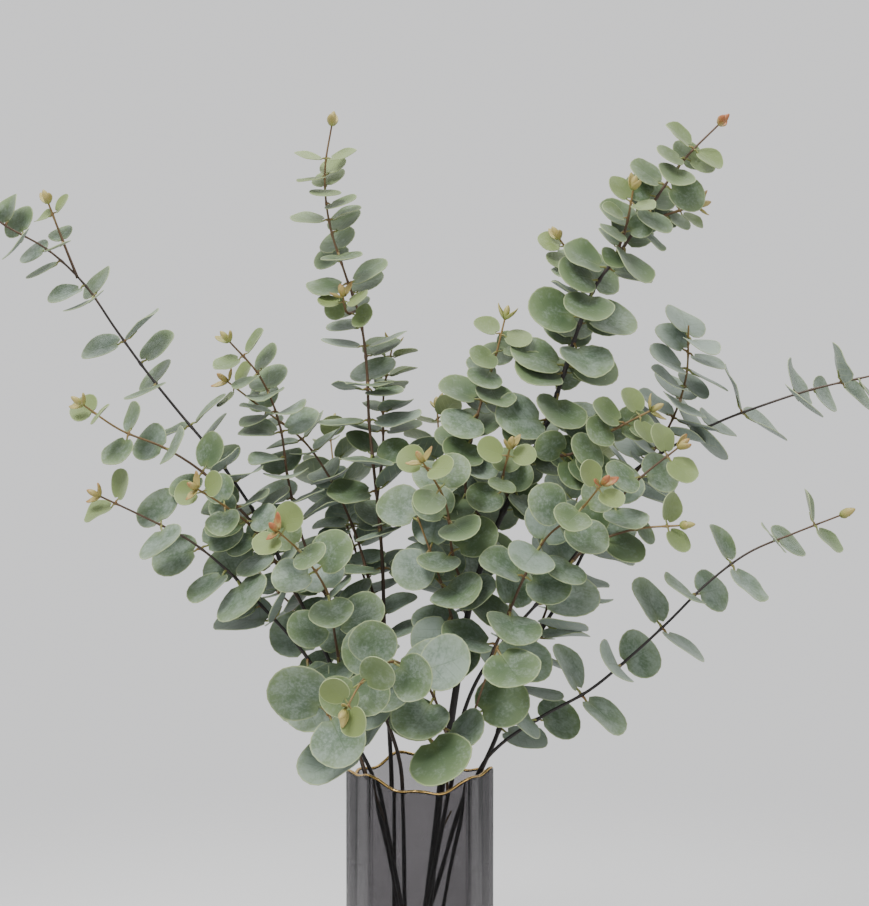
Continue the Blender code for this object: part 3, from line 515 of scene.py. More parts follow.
def smooth(points):
    """A Catmull-Rom line through the points, resampled at even steps."""
    ends = [2 * points[0] - points[1], *points, 2 * points[-1] - points[-2]]
    fine = []
    for a, b, c, d in zip(ends, ends[1:], ends[2:], ends[3:]):
        for step in range(8):
            s = step / 8
            fine.append(0.5 * (2 * b + (c - a) * s + (2 * a - 5 * b + 4 * c - d) * s**2
                               + (3 * b - a - 3 * c + d) * s**3))
    fine.append(points[-1])
    return fine


class Line:
    """A line of straight runs with its length, for places and directions along it."""

    def __init__(self, points):
        self.points = points
        self.marks = [0.0]
        for a, b in zip(points, points[1:]):
            self.marks.append(self.marks[-1] + (b - a).length)
        self.length = self.marks[-1]

    def at(self, distance):
        distance = min(max(distance, 0.0), self.length)
        for index in range(1, len(self.marks)):
            if self.marks[index] >= distance:
                break
        span = self.marks[index] - self.marks[index - 1]
        share = (distance - self.marks[index - 1]) / span
        return self.points[index - 1].lerp(self.points[index], share)

    def direction(self, distance):
        near = 4 * MM
        return (self.at(distance + near) - self.at(distance - near)).normalized()

    def even(self, step):
        """The same route in equal straight runs."""
        count = max(2, round(self.length / step))
        return Line([self.at(self.length * index / count) for index in range(count + 1)])


def twig_radius(twig, distance):
    share = distance / twig["line"].length
    return twig["radius"] + (TIP_RADIUS - twig["radius"]) * share**0.8


twigs = {}
for name, stem in STEMS.items():
    route = [seen(*point) for point in stem["route"]]
    foot = Vector((stem["foot"][0] * CM, -stem["foot"][1] * CM, VASE_FLOOR + CLEAR))
    lean = (route[0] - foot).normalized()
    foot.z += stem["radius"] * lean.xy.length
    line = Line(smooth([foot] + route)).even(ROUTE_STEP)
    twigs[name] = {"stem": name, "line": line, "radius": stem["radius"], "rule": stem}
    for twig_name, twig in stem["twigs"].items():
        root = line.at(line.length * twig["at"])
        own = Line(smooth([root] + [seen(*point) for point in twig["route"]])).even(ROUTE_STEP)
        twigs[twig_name] = {"stem": name, "line": own, "radius": TWIG_RADIUS, "rule": twig}


# The leaves' places: round leaves in opposite pairs, each pair a quarter turn from the last, small and young
# near the end of a twig and larger down it. A leaf that would meet another is turned until it is clear.

BLADE = 0.8 * MM
STALK = 2.4 * MM
STALK_HALF_WIDTH = 1.7 * MM
ROOT_SHARE = 0.12
YOUNG_LEAF = 20 * MM
GROWTH_LENGTH = 65 * MM
LEAF_LENGTH_SHARE = 0.94
LEAF_CLEARANCE = 0.6 * MM
LIGHT_SHARE = 0.5
LOWEST_LIFT = math.radians(-55)
HIGHEST_LIFT = math.radians(65)
LARGEST_ROLL = math.radians(60)
MORE_LEAF_SHARE = 0.9
FULLER_TWIGS = {"middle_back": 1, "middle_upper": 1, "left_back": 1, "left_rear": 1, "right_back": 1,
                "tall_left_back": 1, "stem_upper_left": 1, "tall_left_side": 0.8, "stem_tall_left": 0.5,
                "tall_right_inner": 1, "tall_right_front": 1, "tall_right_fork": 1, "stem_tall_right": 0.6,
                "stem_right": 0.5, "right_upper": 1, "middle_side": 1, "far_left_inner": 0.6,
                "stem_left_low": 0.3, "stem_far_left": 0.3}

# How a leaf that would meet another is changed: its turn round the stem, lift, roll and size
TRIES = [(0, 0, 0, 1), (14, 0, 0, 1), (-14, 0, 0, 1), (0, 14, 0, 1), (0, -14, 0, 1), (0, 0, 18, 1),
         (0, 0, -18, 1), (26, 10, 0, 0.95), (-26, 10, 0, 0.95), (20, -16, 14, 0.92),
         (-20, -16, -14, 0.92), (0, 26, 0, 0.9), (34, 16, 20, 0.86), (-34, 16, -20, 0.86),
         (0, 36, 12, 0.8), (40, 0, -20, 0.76), (-40, 0, 20, 0.76)]


def swollen_leaf(width, length, root, reach, bend, corners, swell, blade):
    """The space that a leaf needs: a thin round blade on its stalk, larger than life by the clearance."""
    shape = bmesh.new()
    notch = math.asin(STALK_HALF_WIDTH / (width / 2))
    rim = []
    for index in range(corners):
        turn = math.pi - notch - (math.tau - 2 * notch) * index / (corners - 1)
        x = length / 2 * (1 + math.cos(turn))
        out = reach + x + swell * math.cos(turn)
        side = (width / 2 + swell) * math.sin(turn)
        rim.append(shape.verts.new((out, side, bend * x * (x / length - 1))))
    foot = shape.verts.new((root, 0, 0))
    shape.faces.new(rim)
    shape.faces.new([rim[-1], foot, rim[0]][::-1])
    bmesh.ops.triangulate(shape, faces=shape.faces)
    bmesh.ops.recalc_face_normals(shape, faces=shape.faces)
    if sum(face.normal.z for face in shape.faces) < 0:
        bmesh.ops.reverse_faces(shape, faces=shape.faces)
    bmesh.ops.solidify(shape, geom=shape.faces[:], thickness=blade)
    return shape


def leaf_matrix(place, along, turn, lift, roll):
    """Where a leaf stands: at a place on a twig, turned round it and lifted toward its tip."""
    front = Vector((0, -1, 0))
    if abs(along.dot(front)) > 0.96:
        front = Vector((0, 0, 1))
    first = (front - along * front.dot(along)).normalized()
    second = along.cross(first)
    out = first * math.cos(turn) + second * math.sin(turn)
    line = out * math.cos(lift) + along * math.sin(lift)
    side = Matrix.Rotation(roll, 3, line) @ along.cross(out)
    up = line.cross(side)
    made = Matrix((line, side, up)).transposed().to_4x4()
    made.translation = place
    return made


def turned_to_light(place, along, turn, lift, share):
    """The lift and roll of a blade turned part of the way to the light, which comes from outside."""
    light = Vector((0.3 * place.x, 1.5 * place.y - 0.10, 0.10)).normalized()
    blade = leaf_matrix(place, along, turn, 0, 0).to_3x3()
    out = blade.col[0]
    best = math.atan2(-out.dot(light), along.dot(light))
    best = min(max(best, LOWEST_LIFT), HIGHEST_LIFT)
    lift += share * (best - lift)
    blade = leaf_matrix(place, along, turn, lift, 0).to_3x3()
    side, up = blade.col[1], blade.col[2]
    roll = math.atan2(-side.dot(light), up.dot(light)) * share
    return lift, min(max(roll, -LARGEST_ROLL), LARGEST_ROLL)


def leaf_places(name, twig):
    """The leaves of one twig by its rule, from tip to root, before any is turned clear."""
    rule, line = twig["rule"], twig["line"]
    draw = random.Random(name)
    distance = rule["gap"]
    phase = rule["phase"]
    end = line.length * (1 - rule.get("bare", 0.0)) - 6 * MM
    while distance < end:
        at = line.length - distance
        place = line.at(at)
        along = line.direction(at)
        grown = 1 - math.exp(-(distance + rule.get("trimmed", 0)) / rule.get("growth", GROWTH_LENGTH))
        raised = math.radians(24 + 26 * math.exp(-distance / 40 / MM) + draw.uniform(-9, 9))
        for side in (0, 180):
            width = (YOUNG_LEAF + (rule["leaf"] - YOUNG_LEAF) * grown) * draw.uniform(0.9, 1.1)
            turn = math.radians(phase + side + draw.uniform(-14, 14))
            raised_by = raised + draw.uniform(-0.16, 0.16)
            lift, roll = turned_to_light(place, along, turn, raised_by, rule.get("to_light", LIGHT_SHARE))
            yield {
                "place": place, "along": along, "radius": twig_radius(twig, at), "share": at / line.length,
                "turn": turn, "lift": lift, "roll": roll + math.radians(draw.uniform(-14, 14)),
                "width": width, "bend": draw.uniform(-0.15, 0.32), "age": grown,
            }
        phase += 90 + draw.uniform(-8, 8)
        distance += rule["spacing"] * draw.uniform(0.9, 1.1) * (0.92 + 0.3 * grown)


tubes = {}
for node in ("vase", "gilt_lip"):
    shape = bmesh.new()
    shape.from_mesh(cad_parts[node].data)
    tubes[node] = BVHTree.FromBMesh(shape)
    shape.free()
for name, twig in twigs.items():
    shape = bmesh.new()
    line = twig["line"]
    for index, (a, b) in enumerate(zip(line.points, line.points[1:])):
        radius = twig_radius(twig, line.marks[index]) + LEAF_CLEARANCE
        turned = (b - a).to_track_quat("Z", "Y").to_matrix().to_4x4()
        turned.translation = (a + b) / 2
        bmesh.ops.create_cone(shape, cap_ends=True, segments=6, radius1=radius, radius2=radius,
                              depth=(b - a).length, matrix=turned)
    tubes[name] = BVHTree.FromBMesh(shape)
    shape.free()


def settle_leaf(name, leaf):
    """Places one leaf by the first of the tries at which it meets nothing placed before."""
    own = {name, twigs[name]["stem"]} if name in STEMS else {name}
    for turn, lift, roll, size in TRIES:
        width = leaf["width"] * size
        length = width * LEAF_LENGTH_SHARE
        matrix = leaf_matrix(leaf["place"], leaf["along"], leaf["turn"] + math.radians(turn),
                             leaf["lift"] + math.radians(lift), leaf["roll"] + math.radians(roll))
        reach = leaf["radius"] + STALK
        root = leaf["radius"] * ROOT_SHARE
        swollen = swollen_leaf(width, length, root, reach, leaf["bend"], 12, LEAF_CLEARANCE,
                               BLADE + 2 * LEAF_CLEARANCE)
        swollen.transform(Matrix.Translation((0, 0, LEAF_CLEARANCE)))
        swollen.transform(matrix)
        tree = BVHTree.FromBMesh(swollen)
        swollen.free()
        centre = matrix @ Vector((reach + length / 2, 0, 0))
        reach_out = length / 2 + STALK + 2 * MM
        near = [o for o in leaves if (o["centre"] - centre).length < reach_out + o["reach_out"]
                and o["node"] != (name, tuple(leaf["place"]))]
        if any(tree.overlap(o["tree"]) for o in near):
            continue
        if any(tree.overlap(t) for n, t in tubes.items() if n not in own):
            continue
        leaves.append({"twig": name, "node": (name, tuple(leaf["place"])), "tree": tree, "centre": centre,
                       "reach_out": reach_out, "matrix": matrix, "width": width, "length": length,
                       "reach": reach, "bend": leaf["bend"], "age": leaf["age"], "share": leaf["share"],
                       "radius": leaf["radius"]})
        break


leaves = []
leafy = [name for name in twigs if twigs[name]["rule"]["leaf"]]
for name in sorted(leafy, key=lambda n: (n not in FRONT_FIRST, list(twigs).index(n))):
    for leaf in leaf_places(name, twigs[name]):
        settle_leaf(name, leaf)

# Between the pairs that the CAD model has, some twigs carry more leaves where there is room for them.
for name, share in FULLER_TWIGS.items():
    draw = random.Random(name + " fuller")
    rule = dict(twigs[name]["rule"])
    rule["gap"] += rule["spacing"] * 0.55
    rule["phase"] += 45
    rule["leaf"] *= MORE_LEAF_SHARE
    for leaf in leaf_places(name + " more", {**twigs[name], "rule": rule}):
        if draw.random() < share:
            settle_leaf(name, leaf)
print(len(leaves), "leaves")


# The wood itself: one rod for each stem and twig, joined, swollen into a knot where a pair of leaves grows.

def smooth_line(name):
    """The twig's line without its corners, which passes through the same points."""
    return Line(smooth(twigs[name]["line"].points))


def swelling(distance, knots):
    """How much thicker the wood is near a pair of leaves."""
    return KNOT_SWELL * sum(math.exp(-((distance - knot) / KNOT_REACH)**2) for knot in knots)


def bark():
    made, shade = new_material("bark")
    place = shade.node("TexCoord", {}, {}, out=3)
    youth = shade.node("Attribute", {"attribute_name": "youth"}, {}, out=2)
    grain = shade.node("TexNoise", {}, {"Vector": place, "Scale": 420.0, "Detail": 5.0, "Roughness": 0.7})
    patches = shade.node("TexNoise", {}, {"Vector": place, "Scale": 60.0, "Detail": 2.0})
    age = youth + (patches - 0.5) * 0.35
    colour = shade.blend(age.rise(0.30, 0.72), OLD_BARK, BROWN_BARK)
    colour = shade.blend(age.rise(0.72, 1.0), colour, YOUNG_BARK)
    colour = shade.blend(grain.rise(0.55, 0.75) * 0.35, colour, YOUNG_BARK)
    bump = shade.node("Bump", {}, {"Strength": 0.6, "Distance": 0.35 * MM, "Height": grain})
    surface = shade.node("BsdfPrincipled", {}, {"Base Color": colour, "Roughness": grain * 0.25 + 0.42,
                                                "Normal": bump})
    return finish_material(made, surface)


def join(pieces, name):
    """One piece from several, each already at its place."""
    bpy.ops.object.select_all(action="DESELECT")
    for piece in pieces:
        piece.select_set(True)
    bpy.context.view_layer.objects.active = pieces[0]
    if len(pieces) > 1:
        bpy.ops.object.join()
    whole = bpy.context.view_layer.objects.active
    whole.name = name
    bpy.ops.object.transform_apply(location=True, rotation=True, scale=True)
    return whole


def set_attribute(mesh, name, values):
    """A number for every corner point of a mesh, for its material."""
    layer = mesh.attributes.new(name, "FLOAT", "POINT")
    layer.data.foreach_set("value", values)


bark_material = bark()
curved = {name: smooth_line(name) for name in twigs}
for stem_name in STEMS:
    rods = []
    for name, twig in twigs.items():
        if twig["stem"] != stem_name:
            continue
        line = curved[name].even(WOOD_STEP)
        knots = {leaf["share"] * line.length for leaf in leaves if leaf["twig"] == name}
        radii = [twig_radius(twig, twig["line"].length * mark / line.length) * (1 + swelling(mark, knots))
                 for mark in line.marks]
        rod = add_line(name, line.points, radii, False, 8)
        finder = KDTree(len(line.points))
        for index, point in enumerate(line.points):
            finder.insert(point, index)
        finder.balance()
        youth = []
        for corner in rod.data.vertices:
            share = line.marks[finder.find(corner.co)[1]] / line.length
            aged = 0.85 * share**0.8 if name in BROWN_STEMS else 0.75 * share**3
            youth.append(aged if name in STEMS else 0.5 + 0.5 * share)
        set_attribute(rod.data, "youth", youth)
        rod.data.materials.clear()
        rod.data.materials.append(bark_material)
        rods.append(rod)
    wood = join(rods, stem_name + "_wood")
    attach(wood, "root")
    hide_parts(stem_name)


# The leaves themselves: thin round blades, notched where the stalk meets them, a little cupped and waved. The
# upper side is green under a blue-white bloom, with a fine pale margin; the lower side is paler and greyer.

LEAF_CORNERS = 20
LEAF_THICKNESS = 0.55 * MM
BOX_MARGIN = 0.8 * MM
NOTCH_DEPTH = 0.10
CUP = 0.10
WAVE = 0.020
DEEP_GREEN = (0.040, 0.077, 0.024, 1)
BLUE_GREEN = (0.054, 0.098, 0.056, 1)
PALE_GREEN = (0.145, 0.208, 0.080, 1)
FROST = (0.280, 0.340, 0.296, 1)
YOUNG_GREEN = (0.155, 0.208, 0.055, 1)
MARGIN = (0.360, 0.420, 0.200, 1)
VEIN = (0.036, 0.072, 0.024, 1)
UNDERSIDE = (0.120, 0.164, 0.118, 1)
TWIG_TONES = {"stem_tall_right": 0.0, "middle_upper": 0.1, "right_upper": 1.8, "stem_right": 1.4,
              "stem_left_low": 0.9, "front_low": 0.7, "front_base": 0.1, "left_base": 0.8,
              "right_base": 0.1, "stem_right_low": 0.6}
YOUNG_UNDERSIDE = (0.220, 0.260, 0.113, 1)

bpy.ops.object.select_all(action="DESELECT")
bpy.ops.mesh.primitive_circle_add(vertices=LEAF_CORNERS, radius=0.5, fill_type="NGON", location=(0.5, 0, 0))
pattern_leaf = bpy.context.object
pattern_leaf.name = "pattern_leaf"
bpy.ops.object.transform_apply(location=True)
bpy.ops.object.mode_set(mode="EDIT")
bpy.ops.mesh.select_mode(type="FACE")
bpy.ops.mesh.select_all(action="SELECT")
bpy.ops.mesh.inset(thickness=0.14)
bpy.ops.mesh.inset(thickness=0.18)
bpy.ops.mesh.poke()
bpy.ops.object.mode_set(mode="OBJECT")
pattern = pattern_leaf.data
for corner in pattern.vertices:
    from_centre = math.hypot(corner.co.x - 0.5, corner.co.y) * 2
    at_base = math.exp(-(corner.co.y / 0.09)**2) * max(0, 1 - 2.2 * corner.co.x)
    corner.co.x += NOTCH_DEPTH * at_base * from_centre**2
if not pattern.uv_layers:
    pattern.uv_layers.new(name="UVMap")
for loop in pattern.loops:
    place = pattern.vertices[loop.vertex_index].co
    pattern.uv_layers[0].data[loop.index].uv = (place.x, place.y + 0.5)


def leaf_surface(made_name, under):
    """The finish of one side of the leaves, by the blade's own map: u runs base to tip, v across."""
    made, shade = new_material(made_name)
    place = shade.node("TexCoord", {}, {}, out=3)
    flat = shade.node("TexCoord", {}, {}, out=2)
    parts = shade.node("SeparateXYZ", {}, {"Vector": flat})
    u = parts
    v = Socket(shade.tree, parts.output.node.outputs[1])
    age = shade.node("Attribute", {"attribute_name": "age"}, {}, out=2)
    tone = shade.node("Attribute", {"attribute_name": "tone"}, {}, out=2)
    side = abs(v - 0.5)
    from_centre = ((u - 0.5) ** 2.0 + side ** 2.0) ** 0.5
    midrib = 1 - side.rise(0.004, 0.020)
    wave = shade.math("FRACT", u * 5.5 - side * 3.4 + tone * 3.0)
    veins = (1 - abs(wave - 0.5).rise(0.02, 0.11)) * (1 - from_centre.rise(0.30, 0.46)) * 0.55
    ribs = shade.math("MAXIMUM", midrib * (1 - u.rise(0.55, 0.95)), veins)
    speckle = shade.node("TexNoise", {}, {"Vector": place, "Scale": 420.0, "Detail": 3.0, "Roughness": 0.6})
    patches = shade.node("TexNoise", {}, {"Vector": place, "Scale": 75.0, "Detail": 3.0, "Roughness": 0.55})
    uneven = (speckle.rise(0.40, 0.64) - 0.5) * 0.26 + (patches.rise(0.36, 0.64) - 0.5) * 0.40
    near_stalk = 1 - (u * 0.7 + side).rise(0.02, 0.34)
    bloom = (tone * 0.7 + 0.05 + uneven).rise(0.0, 1.0) * (1 - near_stalk * 0.5)
    outward = u.rise(0.15, 1.0) * 0.55 + from_centre.rise(0.20, 0.50) * 0.45
    if under:
        colour = shade.blend(age.rise(0.15, 0.75), YOUNG_UNDERSIDE, UNDERSIDE)
        colour = shade.blend(bloom * 0.50, colour, FROST)
        colour = shade.blend(ribs * 0.45, colour, MARGIN)
    else:
        colour = shade.blend(tone.rise(0.15, 0.85), DEEP_GREEN, BLUE_GREEN)
        colour = shade.blend(outward * 0.7, colour, PALE_GREEN)
        colour = shade.blend(bloom * 0.60, colour, FROST)
        colour = shade.blend(age.rise(0.05, 0.50), YOUNG_GREEN, colour)
        colour = shade.blend(ribs * 0.42 * age, colour, VEIN)
    colour = shade.blend(near_stalk * 0.4, colour, YOUNG_GREEN)
    colour = shade.blend(from_centre.rise(0.465, 0.495) * 0.6, colour, MARGIN)
    bump = shade.node("Bump", {"invert": not under}, {"Strength": 0.4, "Distance": 0.3 * MM, "Height": ribs})
    surface = shade.node("BsdfPrincipled", {}, {"Base Color": colour, "Roughness": 0.62 - ribs * 0.1,
                                                "Sheen Weight": 0.15, "Normal": bump})
    return finish_material(made, surface)


leaf_upper = leaf_surface("leaf_upper", under=False)
leaf_lower = leaf_surface("leaf_lower", under=True)


def shift_to_curve(leaf):
    """From the CAD stem's straight runs to the smooth wood."""
    twig = twigs[leaf["twig"]]
    line = curved[leaf["twig"]]
    return line.at(line.length * leaf["share"]) - twig["line"].at(twig["line"].length * leaf["share"])


def copy_of(pattern_object, name):
    made = bpy.data.objects.new(name, pattern_object.data.copy())
    bpy.context.collection.objects.link(made)
    return made


def shape_blade(mesh, leaf, draw):
    """Gives a copy of the pattern its size, bend, cup and wave, and puts it at its place on the twig."""
    cup = CUP * draw.uniform(0.1, 1.4)
    ripple = WAVE * draw.uniform(0.2, 1.6)
    lobes = draw.choice((2, 3, 3, 4))
    start = draw.uniform(0, math.tau)
    for corner in mesh.vertices:
        x, y = corner.co.x, corner.co.y
        out = min(1.0, 2 * math.hypot(x - 0.5, y))
        turn = math.atan2(y, x - 0.5)
        edge = 1 + 0.025 * math.sin(lobes * turn + start) * out
        y = y * edge
        rise = leaf["bend"] * leaf["length"] * x * (x - 1)
        ruffled = ripple * out * out * min(1, 1.5 * x) * math.sin(lobes * turn + start)
        rise += leaf["width"] * (cup * 4 * y * y + ruffled)
        corner.co = (leaf["reach"] + x * leaf["length"], y * leaf["width"], rise)
    mesh.transform(leaf["matrix"])
    mesh.transform(Matrix.Translation(shift_to_curve(leaf)))
    keep_in_box(mesh, leaf["matrix"].translation + shift_to_curve(leaf))


def keep_in_box(mesh, root):
    """A leaf that would reach past the CAD model's box is made that much smaller."""
    share = 1.0
    for axis in range(3):
        reach = [corner.co[axis] for corner in mesh.vertices]
        low = cad_box[0][axis] + BOX_MARGIN
        high = cad_box[1][axis] - BOX_MARGIN
        if min(reach) < low:
            share = min(share, (low - root[axis]) / (min(reach) - root[axis]))
        if max(reach) > high:
            share = min(share, (high - root[axis]) / (max(reach) - root[axis]))
    if share < 1:
        mesh.transform(Matrix.Translation(root) @ Matrix.Scale(share, 4) @ Matrix.Translation(-root))


for stem_name in STEMS:
    blades = []
    for number, leaf in enumerate(leaves):
        if twigs[leaf["twig"]]["stem"] != stem_name:
            continue
        draw = random.Random("blade %d" % number)
        blade = copy_of(pattern_leaf, "blade")
        shape_blade(blade.data, leaf, draw)
        count = len(blade.data.vertices)
        twig_tone = TWIG_TONES.get(leaf["twig"], random.Random(leaf["twig"] + " tone").uniform(0.1, 0.7))
        tone = leaf["age"] * (0.7 * twig_tone + 0.75 * draw.random()**1.6) + draw.uniform(-0.1, 0.1)
        tone = min(1.5, max(0, tone))
        set_attribute(blade.data, "age", [min(1, leaf["age"] * draw.uniform(0.85, 1.15))] * count)
        set_attribute(blade.data, "tone", [tone] * count)
        blade.data.materials.append(leaf_upper)
        blade.data.materials.append(leaf_lower)
        blades.append(blade)
    foliage = join(blades, stem_name + "_leaves")
    only_active(foliage)
    body = foliage.modifiers.new("thickness", "SOLIDIFY")
    body.thickness = LEAF_THICKNESS
    body.offset = -1
    body.material_offset = 1
    settle(foliage, 60)
    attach(foliage, "root")
    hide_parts(stem_name)


# The stalks: short arched petioles, yellow-green and reddish where they leave the wood, running a little way
# under each blade as its midrib.

STALK_SIDES = 6
STALK_THIN = 0.50 * MM
STALK_THICK = 1.0 * MM
STALK_UNDER = 0.30
STALK_ARCH = 0.16
STALK_GREEN = (0.190, 0.220, 0.060, 1)
STALK_RED = (0.170, 0.090, 0.030, 1)

bpy.ops.object.select_all(action="DESELECT")
bpy.ops.mesh.primitive_cylinder_add(vertices=STALK_SIDES, radius=1, depth=1, location=(0.5, 0, 0),
                                    rotation=(0, math.pi / 2, 0))
pattern_stalk = bpy.context.object
pattern_stalk.name = "pattern_stalk"
bpy.ops.object.transform_apply(location=True, rotation=True)
bpy.ops.object.mode_set(mode="EDIT")
bpy.ops.mesh.select_mode(type="EDGE")
bpy.ops.mesh.select_all(action="DESELECT")
edit = bmesh.from_edit_mesh(pattern_stalk.data)
for edge in edit.edges:
    edge.select_set(abs(edge.verts[0].co.x - edge.verts[1].co.x) > 0.5)
bmesh.update_edit_mesh(pattern_stalk.data)
bpy.ops.mesh.subdivide(number_cuts=4)
bpy.ops.object.mode_set(mode="OBJECT")


def stalk_material():
    made, shade = new_material("stalk")
    share = shade.node("Attribute", {"attribute_name": "share"}, {}, out=2)
    tone = shade.node("Attribute", {"attribute_name": "tone"}, {}, out=2)
    place = shade.node("TexCoord", {}, {}, out=3)
    fleck = shade.node("TexNoise", {}, {"Vector": place, "Scale": 500.0, "Detail": 3.0})
    red = (1 - share.rise(0.10, 0.60)) * tone + (fleck - 0.5) * 0.4
    colour = shade.blend(red.rise(0.0, 1.0), STALK_GREEN, STALK_RED)
    bump = shade.node("Bump", {}, {"Strength": 0.3, "Distance": 0.2 * MM, "Height": fleck})
    return finish_material(made, shade.node("BsdfPrincipled", {}, {"Base Color": colour, "Roughness": 0.5,
                                                                   "Normal": bump}))


stalk_finish = stalk_material()
for stem_name in STEMS:
    stalks = []
    for number, leaf in enumerate(leaves):
        if twigs[leaf["twig"]]["stem"] != stem_name:
            continue
        draw = random.Random("stalk %d" % number)
        stalk = copy_of(pattern_stalk, "stalk")
        reach = leaf["reach"] + STALK_UNDER * leaf["length"]
        thick = STALK_THIN + (STALK_THICK - STALK_THIN) * min(1, leaf["width"] / (50 * MM))
        shares = []
        for corner in stalk.data.vertices:
            share = corner.co.x
            shares.append(share)
            x = share * reach
            taper = thick * (1.35 - 0.9 * share)
            blade = max(0.0, x - leaf["reach"]) / leaf["length"]
            height = leaf["bend"] * leaf["length"] * blade * (blade - 1)
            arch = STALK_ARCH * leaf["reach"] * math.sin(math.pi * min(1, x / leaf["reach"]))
            sunk = -LEAF_THICKNESS - 0.6 * taper if x > leaf["reach"] else 0
            corner.co = (x, corner.co.y * taper, corner.co.z * taper + height + arch + sunk)
        stalk.data.transform(leaf["matrix"])
        stalk.data.transform(Matrix.Translation(shift_to_curve(leaf)))
        set_attribute(stalk.data, "share", shares)
        set_attribute(stalk.data, "tone", [draw.uniform(0.2, 1.0)] * len(shares))
        stalk.data.materials.append(stalk_finish)
        stalks.append(stalk)
    stems_stalks = join(stalks, stem_name + "_stalks")
    bpy.ops.object.shade_smooth()
    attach(stems_stalks, "root")
    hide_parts(stem_name)
for spent in (pattern_leaf, pattern_stalk):
    bpy.data.objects.remove(spent)


# The young growth: every twig ends in an oval bud between small pointed leaves that have not yet opened flat,
# mustard to orange where they are youngest.

BUD_LENGTH = 11 * MM
BUD_RADIUS = 3 * MM
TIP_LEAF_LENGTH = 14 * MM
TIP_LEAF_WIDTH = 7.5 * MM
TIP_LEAF_ROOT = 4 * MM
MUSTARD = (0.330, 0.270, 0.085, 1)
FRESH_GREEN = (0.250, 0.290, 0.080, 1)
ORANGE = (0.300, 0.098, 0.032, 1)

FIERY_TIPS = {"left_front": 0.85, "right_bloom": 0.85, "stem_tall_right": 0.85, "middle_front": 0.6}

bpy.ops.object.select_all(action="DESELECT")
bpy.ops.mesh.primitive_uv_sphere_add(segments=12, ring_count=10, radius=1)
pattern_bud = bpy.context.object
pattern_bud.name = "pattern_bud"
for corner in pattern_bud.data.vertices:
    pointed = 1 - 0.35 * max(0, corner.co.z)**2
    corner.co = (corner.co.x * pointed, corner.co.y * pointed, corner.co.z)
bpy.ops.mesh.primitive_circle_add(vertices=12, radius=0.5, fill_type="NGON", location=(0.5, 0, 0))
pattern_point = bpy.context.object
pattern_point.name = "pattern_point"
bpy.ops.object.transform_apply(location=True)
bpy.ops.object.mode_set(mode="EDIT")
bpy.ops.mesh.select_all(action="SELECT")
bpy.ops.mesh.inset(thickness=0.2)
bpy.ops.mesh.poke()
bpy.ops.object.mode_set(mode="OBJECT")
for corner in pattern_point.data.vertices:
    corner.co.y *= 1 - 0.75 * max(0, corner.co.x - 0.35)


def young_material():
    made, shade = new_material("young_growth")
    heat = shade.node("Attribute", {"attribute_name": "warmth"}, {}, out=2)
    share = shade.node("Attribute", {"attribute_name": "share"}, {}, out=2)
    place = shade.node("TexCoord", {}, {}, out=3)
    fleck = shade.node("TexNoise", {}, {"Vector": place, "Scale": 600.0, "Detail": 4.0})
    warm = heat + (share - 0.5) * 0.5 + (fleck - 0.5) * 0.5
    colour = shade.blend(warm.rise(0.05, 0.50), FRESH_GREEN, MUSTARD)
    colour = shade.blend(warm.rise(0.62, 1.0), colour, ORANGE)
    bump = shade.node("Bump", {}, {"Strength": 0.35, "Distance": 0.3 * MM, "Height": fleck})
    return finish_material(made, shade.node("BsdfPrincipled", {}, {"Base Color": colour, "Roughness": 0.55,
                                                                   "Normal": bump}))


young_finish = young_material()
for stem_name in STEMS:
    tips = []
    for name, twig in twigs.items():
        if twig["stem"] != stem_name or not twig["rule"]["leaf"] or twig["rule"].get("trimmed"):
            continue
        line = twig["line"]
        along = line.direction(line.length)
        draw = random.Random(name + " tip")
        first_turn = draw.uniform(0, math.pi)
        heat = draw.choice((0.25, 0.40, 0.5, 0.6))
        heat = FIERY_TIPS.get(name, heat)
        spread = draw.choice((0.6, 1.2, 1.6)) if name not in FIERY_TIPS else 1.5
        bud = copy_of(pattern_bud, "bud")
        shares = [corner.co.z * 0.5 + 0.5 for corner in bud.data.vertices]
        bud.data.transform(Matrix.Diagonal((BUD_RADIUS, BUD_RADIUS * 0.85, BUD_LENGTH / 2, 1)))
        turned = along.to_track_quat("Z", "Y").to_matrix().to_4x4()
        turned.translation = line.at(line.length) + along * BUD_LENGTH * 0.3
        bud.data.transform(turned)
        set_attribute(bud.data, "share", shares)
        set_attribute(bud.data, "warmth", [heat] * len(shares))
        tips.append(bud)
        for number in range(4):
            size = (1.0, 1.0, 0.6, 0.6)[number]
            turn = first_turn + (0, math.pi, math.pi / 2, -math.pi / 2)[number]
            lift = math.radians((70, 70, 78, 78)[number] - (22 if number < 2 else 0) * spread)
            bract = copy_of(pattern_point, "young_leaf")
            shares = [corner.co.x for corner in bract.data.vertices]
            for corner in bract.data.vertices:
                x, y = corner.co.x, corner.co.y
                rise = TIP_LEAF_LENGTH * (0.45 * x * (x - 1) + 0.8 * y * y)
                corner.co = (1.0 * MM + x * TIP_LEAF_LENGTH * size, y * TIP_LEAF_WIDTH * size, rise * size)
            root = line.at(line.length - TIP_LEAF_ROOT)
            bract.data.transform(leaf_matrix(root, along, turn, lift, 0))
            keep_in_box(bract.data, root)
            set_attribute(bract.data, "share", shares)
            set_attribute(bract.data, "warmth", [heat] * len(shares))
            only_active(bract)
            body = bract.modifiers.new("thickness", "SOLIDIFY")
            body.thickness = 0.5 * MM
            bpy.ops.object.modifier_apply(modifier="thickness")
            tips.append(bract)
    for piece in tips:
        piece.data.materials.append(young_finish)
    young = join(tips, stem_name + "_young_growth")
    bpy.ops.object.shade_smooth()
    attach(young, "root")
    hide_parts(stem_name)
for spent in (pattern_bud, pattern_point):
    bpy.data.objects.remove(spent)


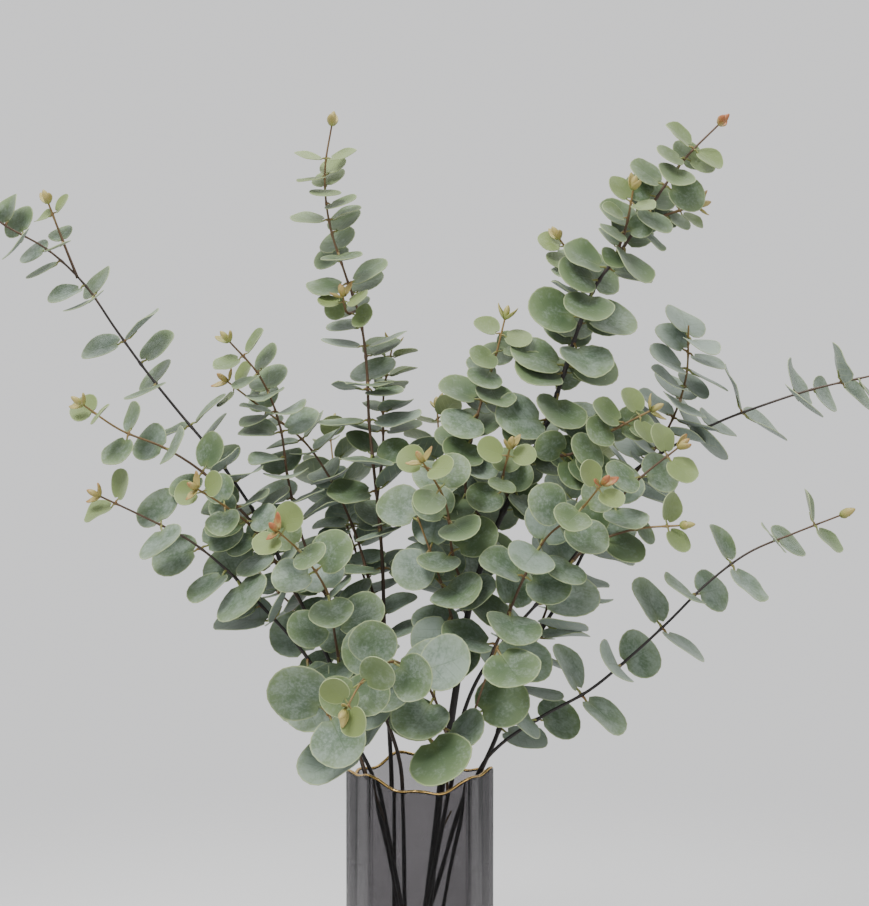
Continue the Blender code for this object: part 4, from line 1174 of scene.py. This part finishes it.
# The stage: a plain pale floor under soft light from above and the left, and a camera at eye height in front.

PHOTO_WIDTH = 0.709
LOOK_AT = Vector((EYE_SIDE, 0, 0.518))
EYE = Vector((EYE_SIDE, -EYE_DISTANCE, EYE_HEIGHT))
FLOOR_RADIUS = 3
FADE_FROM = 0.35
FADE_TO = 1.3
PALE = (0.62, 0.62, 0.62, 1)

bpy.ops.object.select_all(action="DESELECT")
bpy.ops.mesh.primitive_circle_add(vertices=64, radius=FLOOR_RADIUS, fill_type="NGON", location=(0, 0, 0))
floor = bpy.context.object
floor.name = "floor"
paper, shade = new_material("pale_paper")
place = shade.node("TexCoord", {}, {}, out=3)
away = shade.node("VectorMath", {"operation": "LENGTH"}, {0: place}, out=1)
sheet = shade.node("BsdfPrincipled", {}, {"Base Color": PALE, "Roughness": 0.9, "Specular IOR Level": 0.1})
clear = shade.node("BsdfTransparent", {}, {})
surface = shade.node("MixShader", {}, {0: away.rise(FADE_FROM, FADE_TO), 1: sheet, 2: clear})
floor.data.materials.append(finish_material(paper, surface))

world = bpy.data.worlds.new("soft_room")
bpy.context.scene.world = world
world.use_nodes = True
world.node_tree.nodes["Background"].inputs["Color"].default_value = (0.80, 0.80, 0.81, 1)
world.node_tree.nodes["Background"].inputs["Strength"].default_value = 1.22

for name, place, size, power in (("key", (-0.9, -1.3, 2.5), 0.9, 85), ("fill", (2.0, -1.6, 1.4), 1.6, 10),
                                 ("top", (0.2, 0.5, 2.6), 1.2, 35)):
    bpy.ops.object.light_add(type="AREA", location=place)
    lamp = bpy.context.object
    lamp.name = name
    lamp.data.size = size
    lamp.data.energy = power
    lamp.rotation_euler = (Vector((0, 0, 0.45)) - lamp.location).to_track_quat("-Z", "Y").to_euler()

bpy.ops.object.camera_add(location=EYE)
camera = bpy.context.object
camera.rotation_euler = (LOOK_AT - EYE).to_track_quat("-Z", "Y").to_euler()
camera.data.sensor_fit = "HORIZONTAL"
camera.data.sensor_width = 36
camera.data.lens = 36 * EYE_DISTANCE / PHOTO_WIDTH
camera.data.clip_end = 200
bpy.context.scene.camera = camera
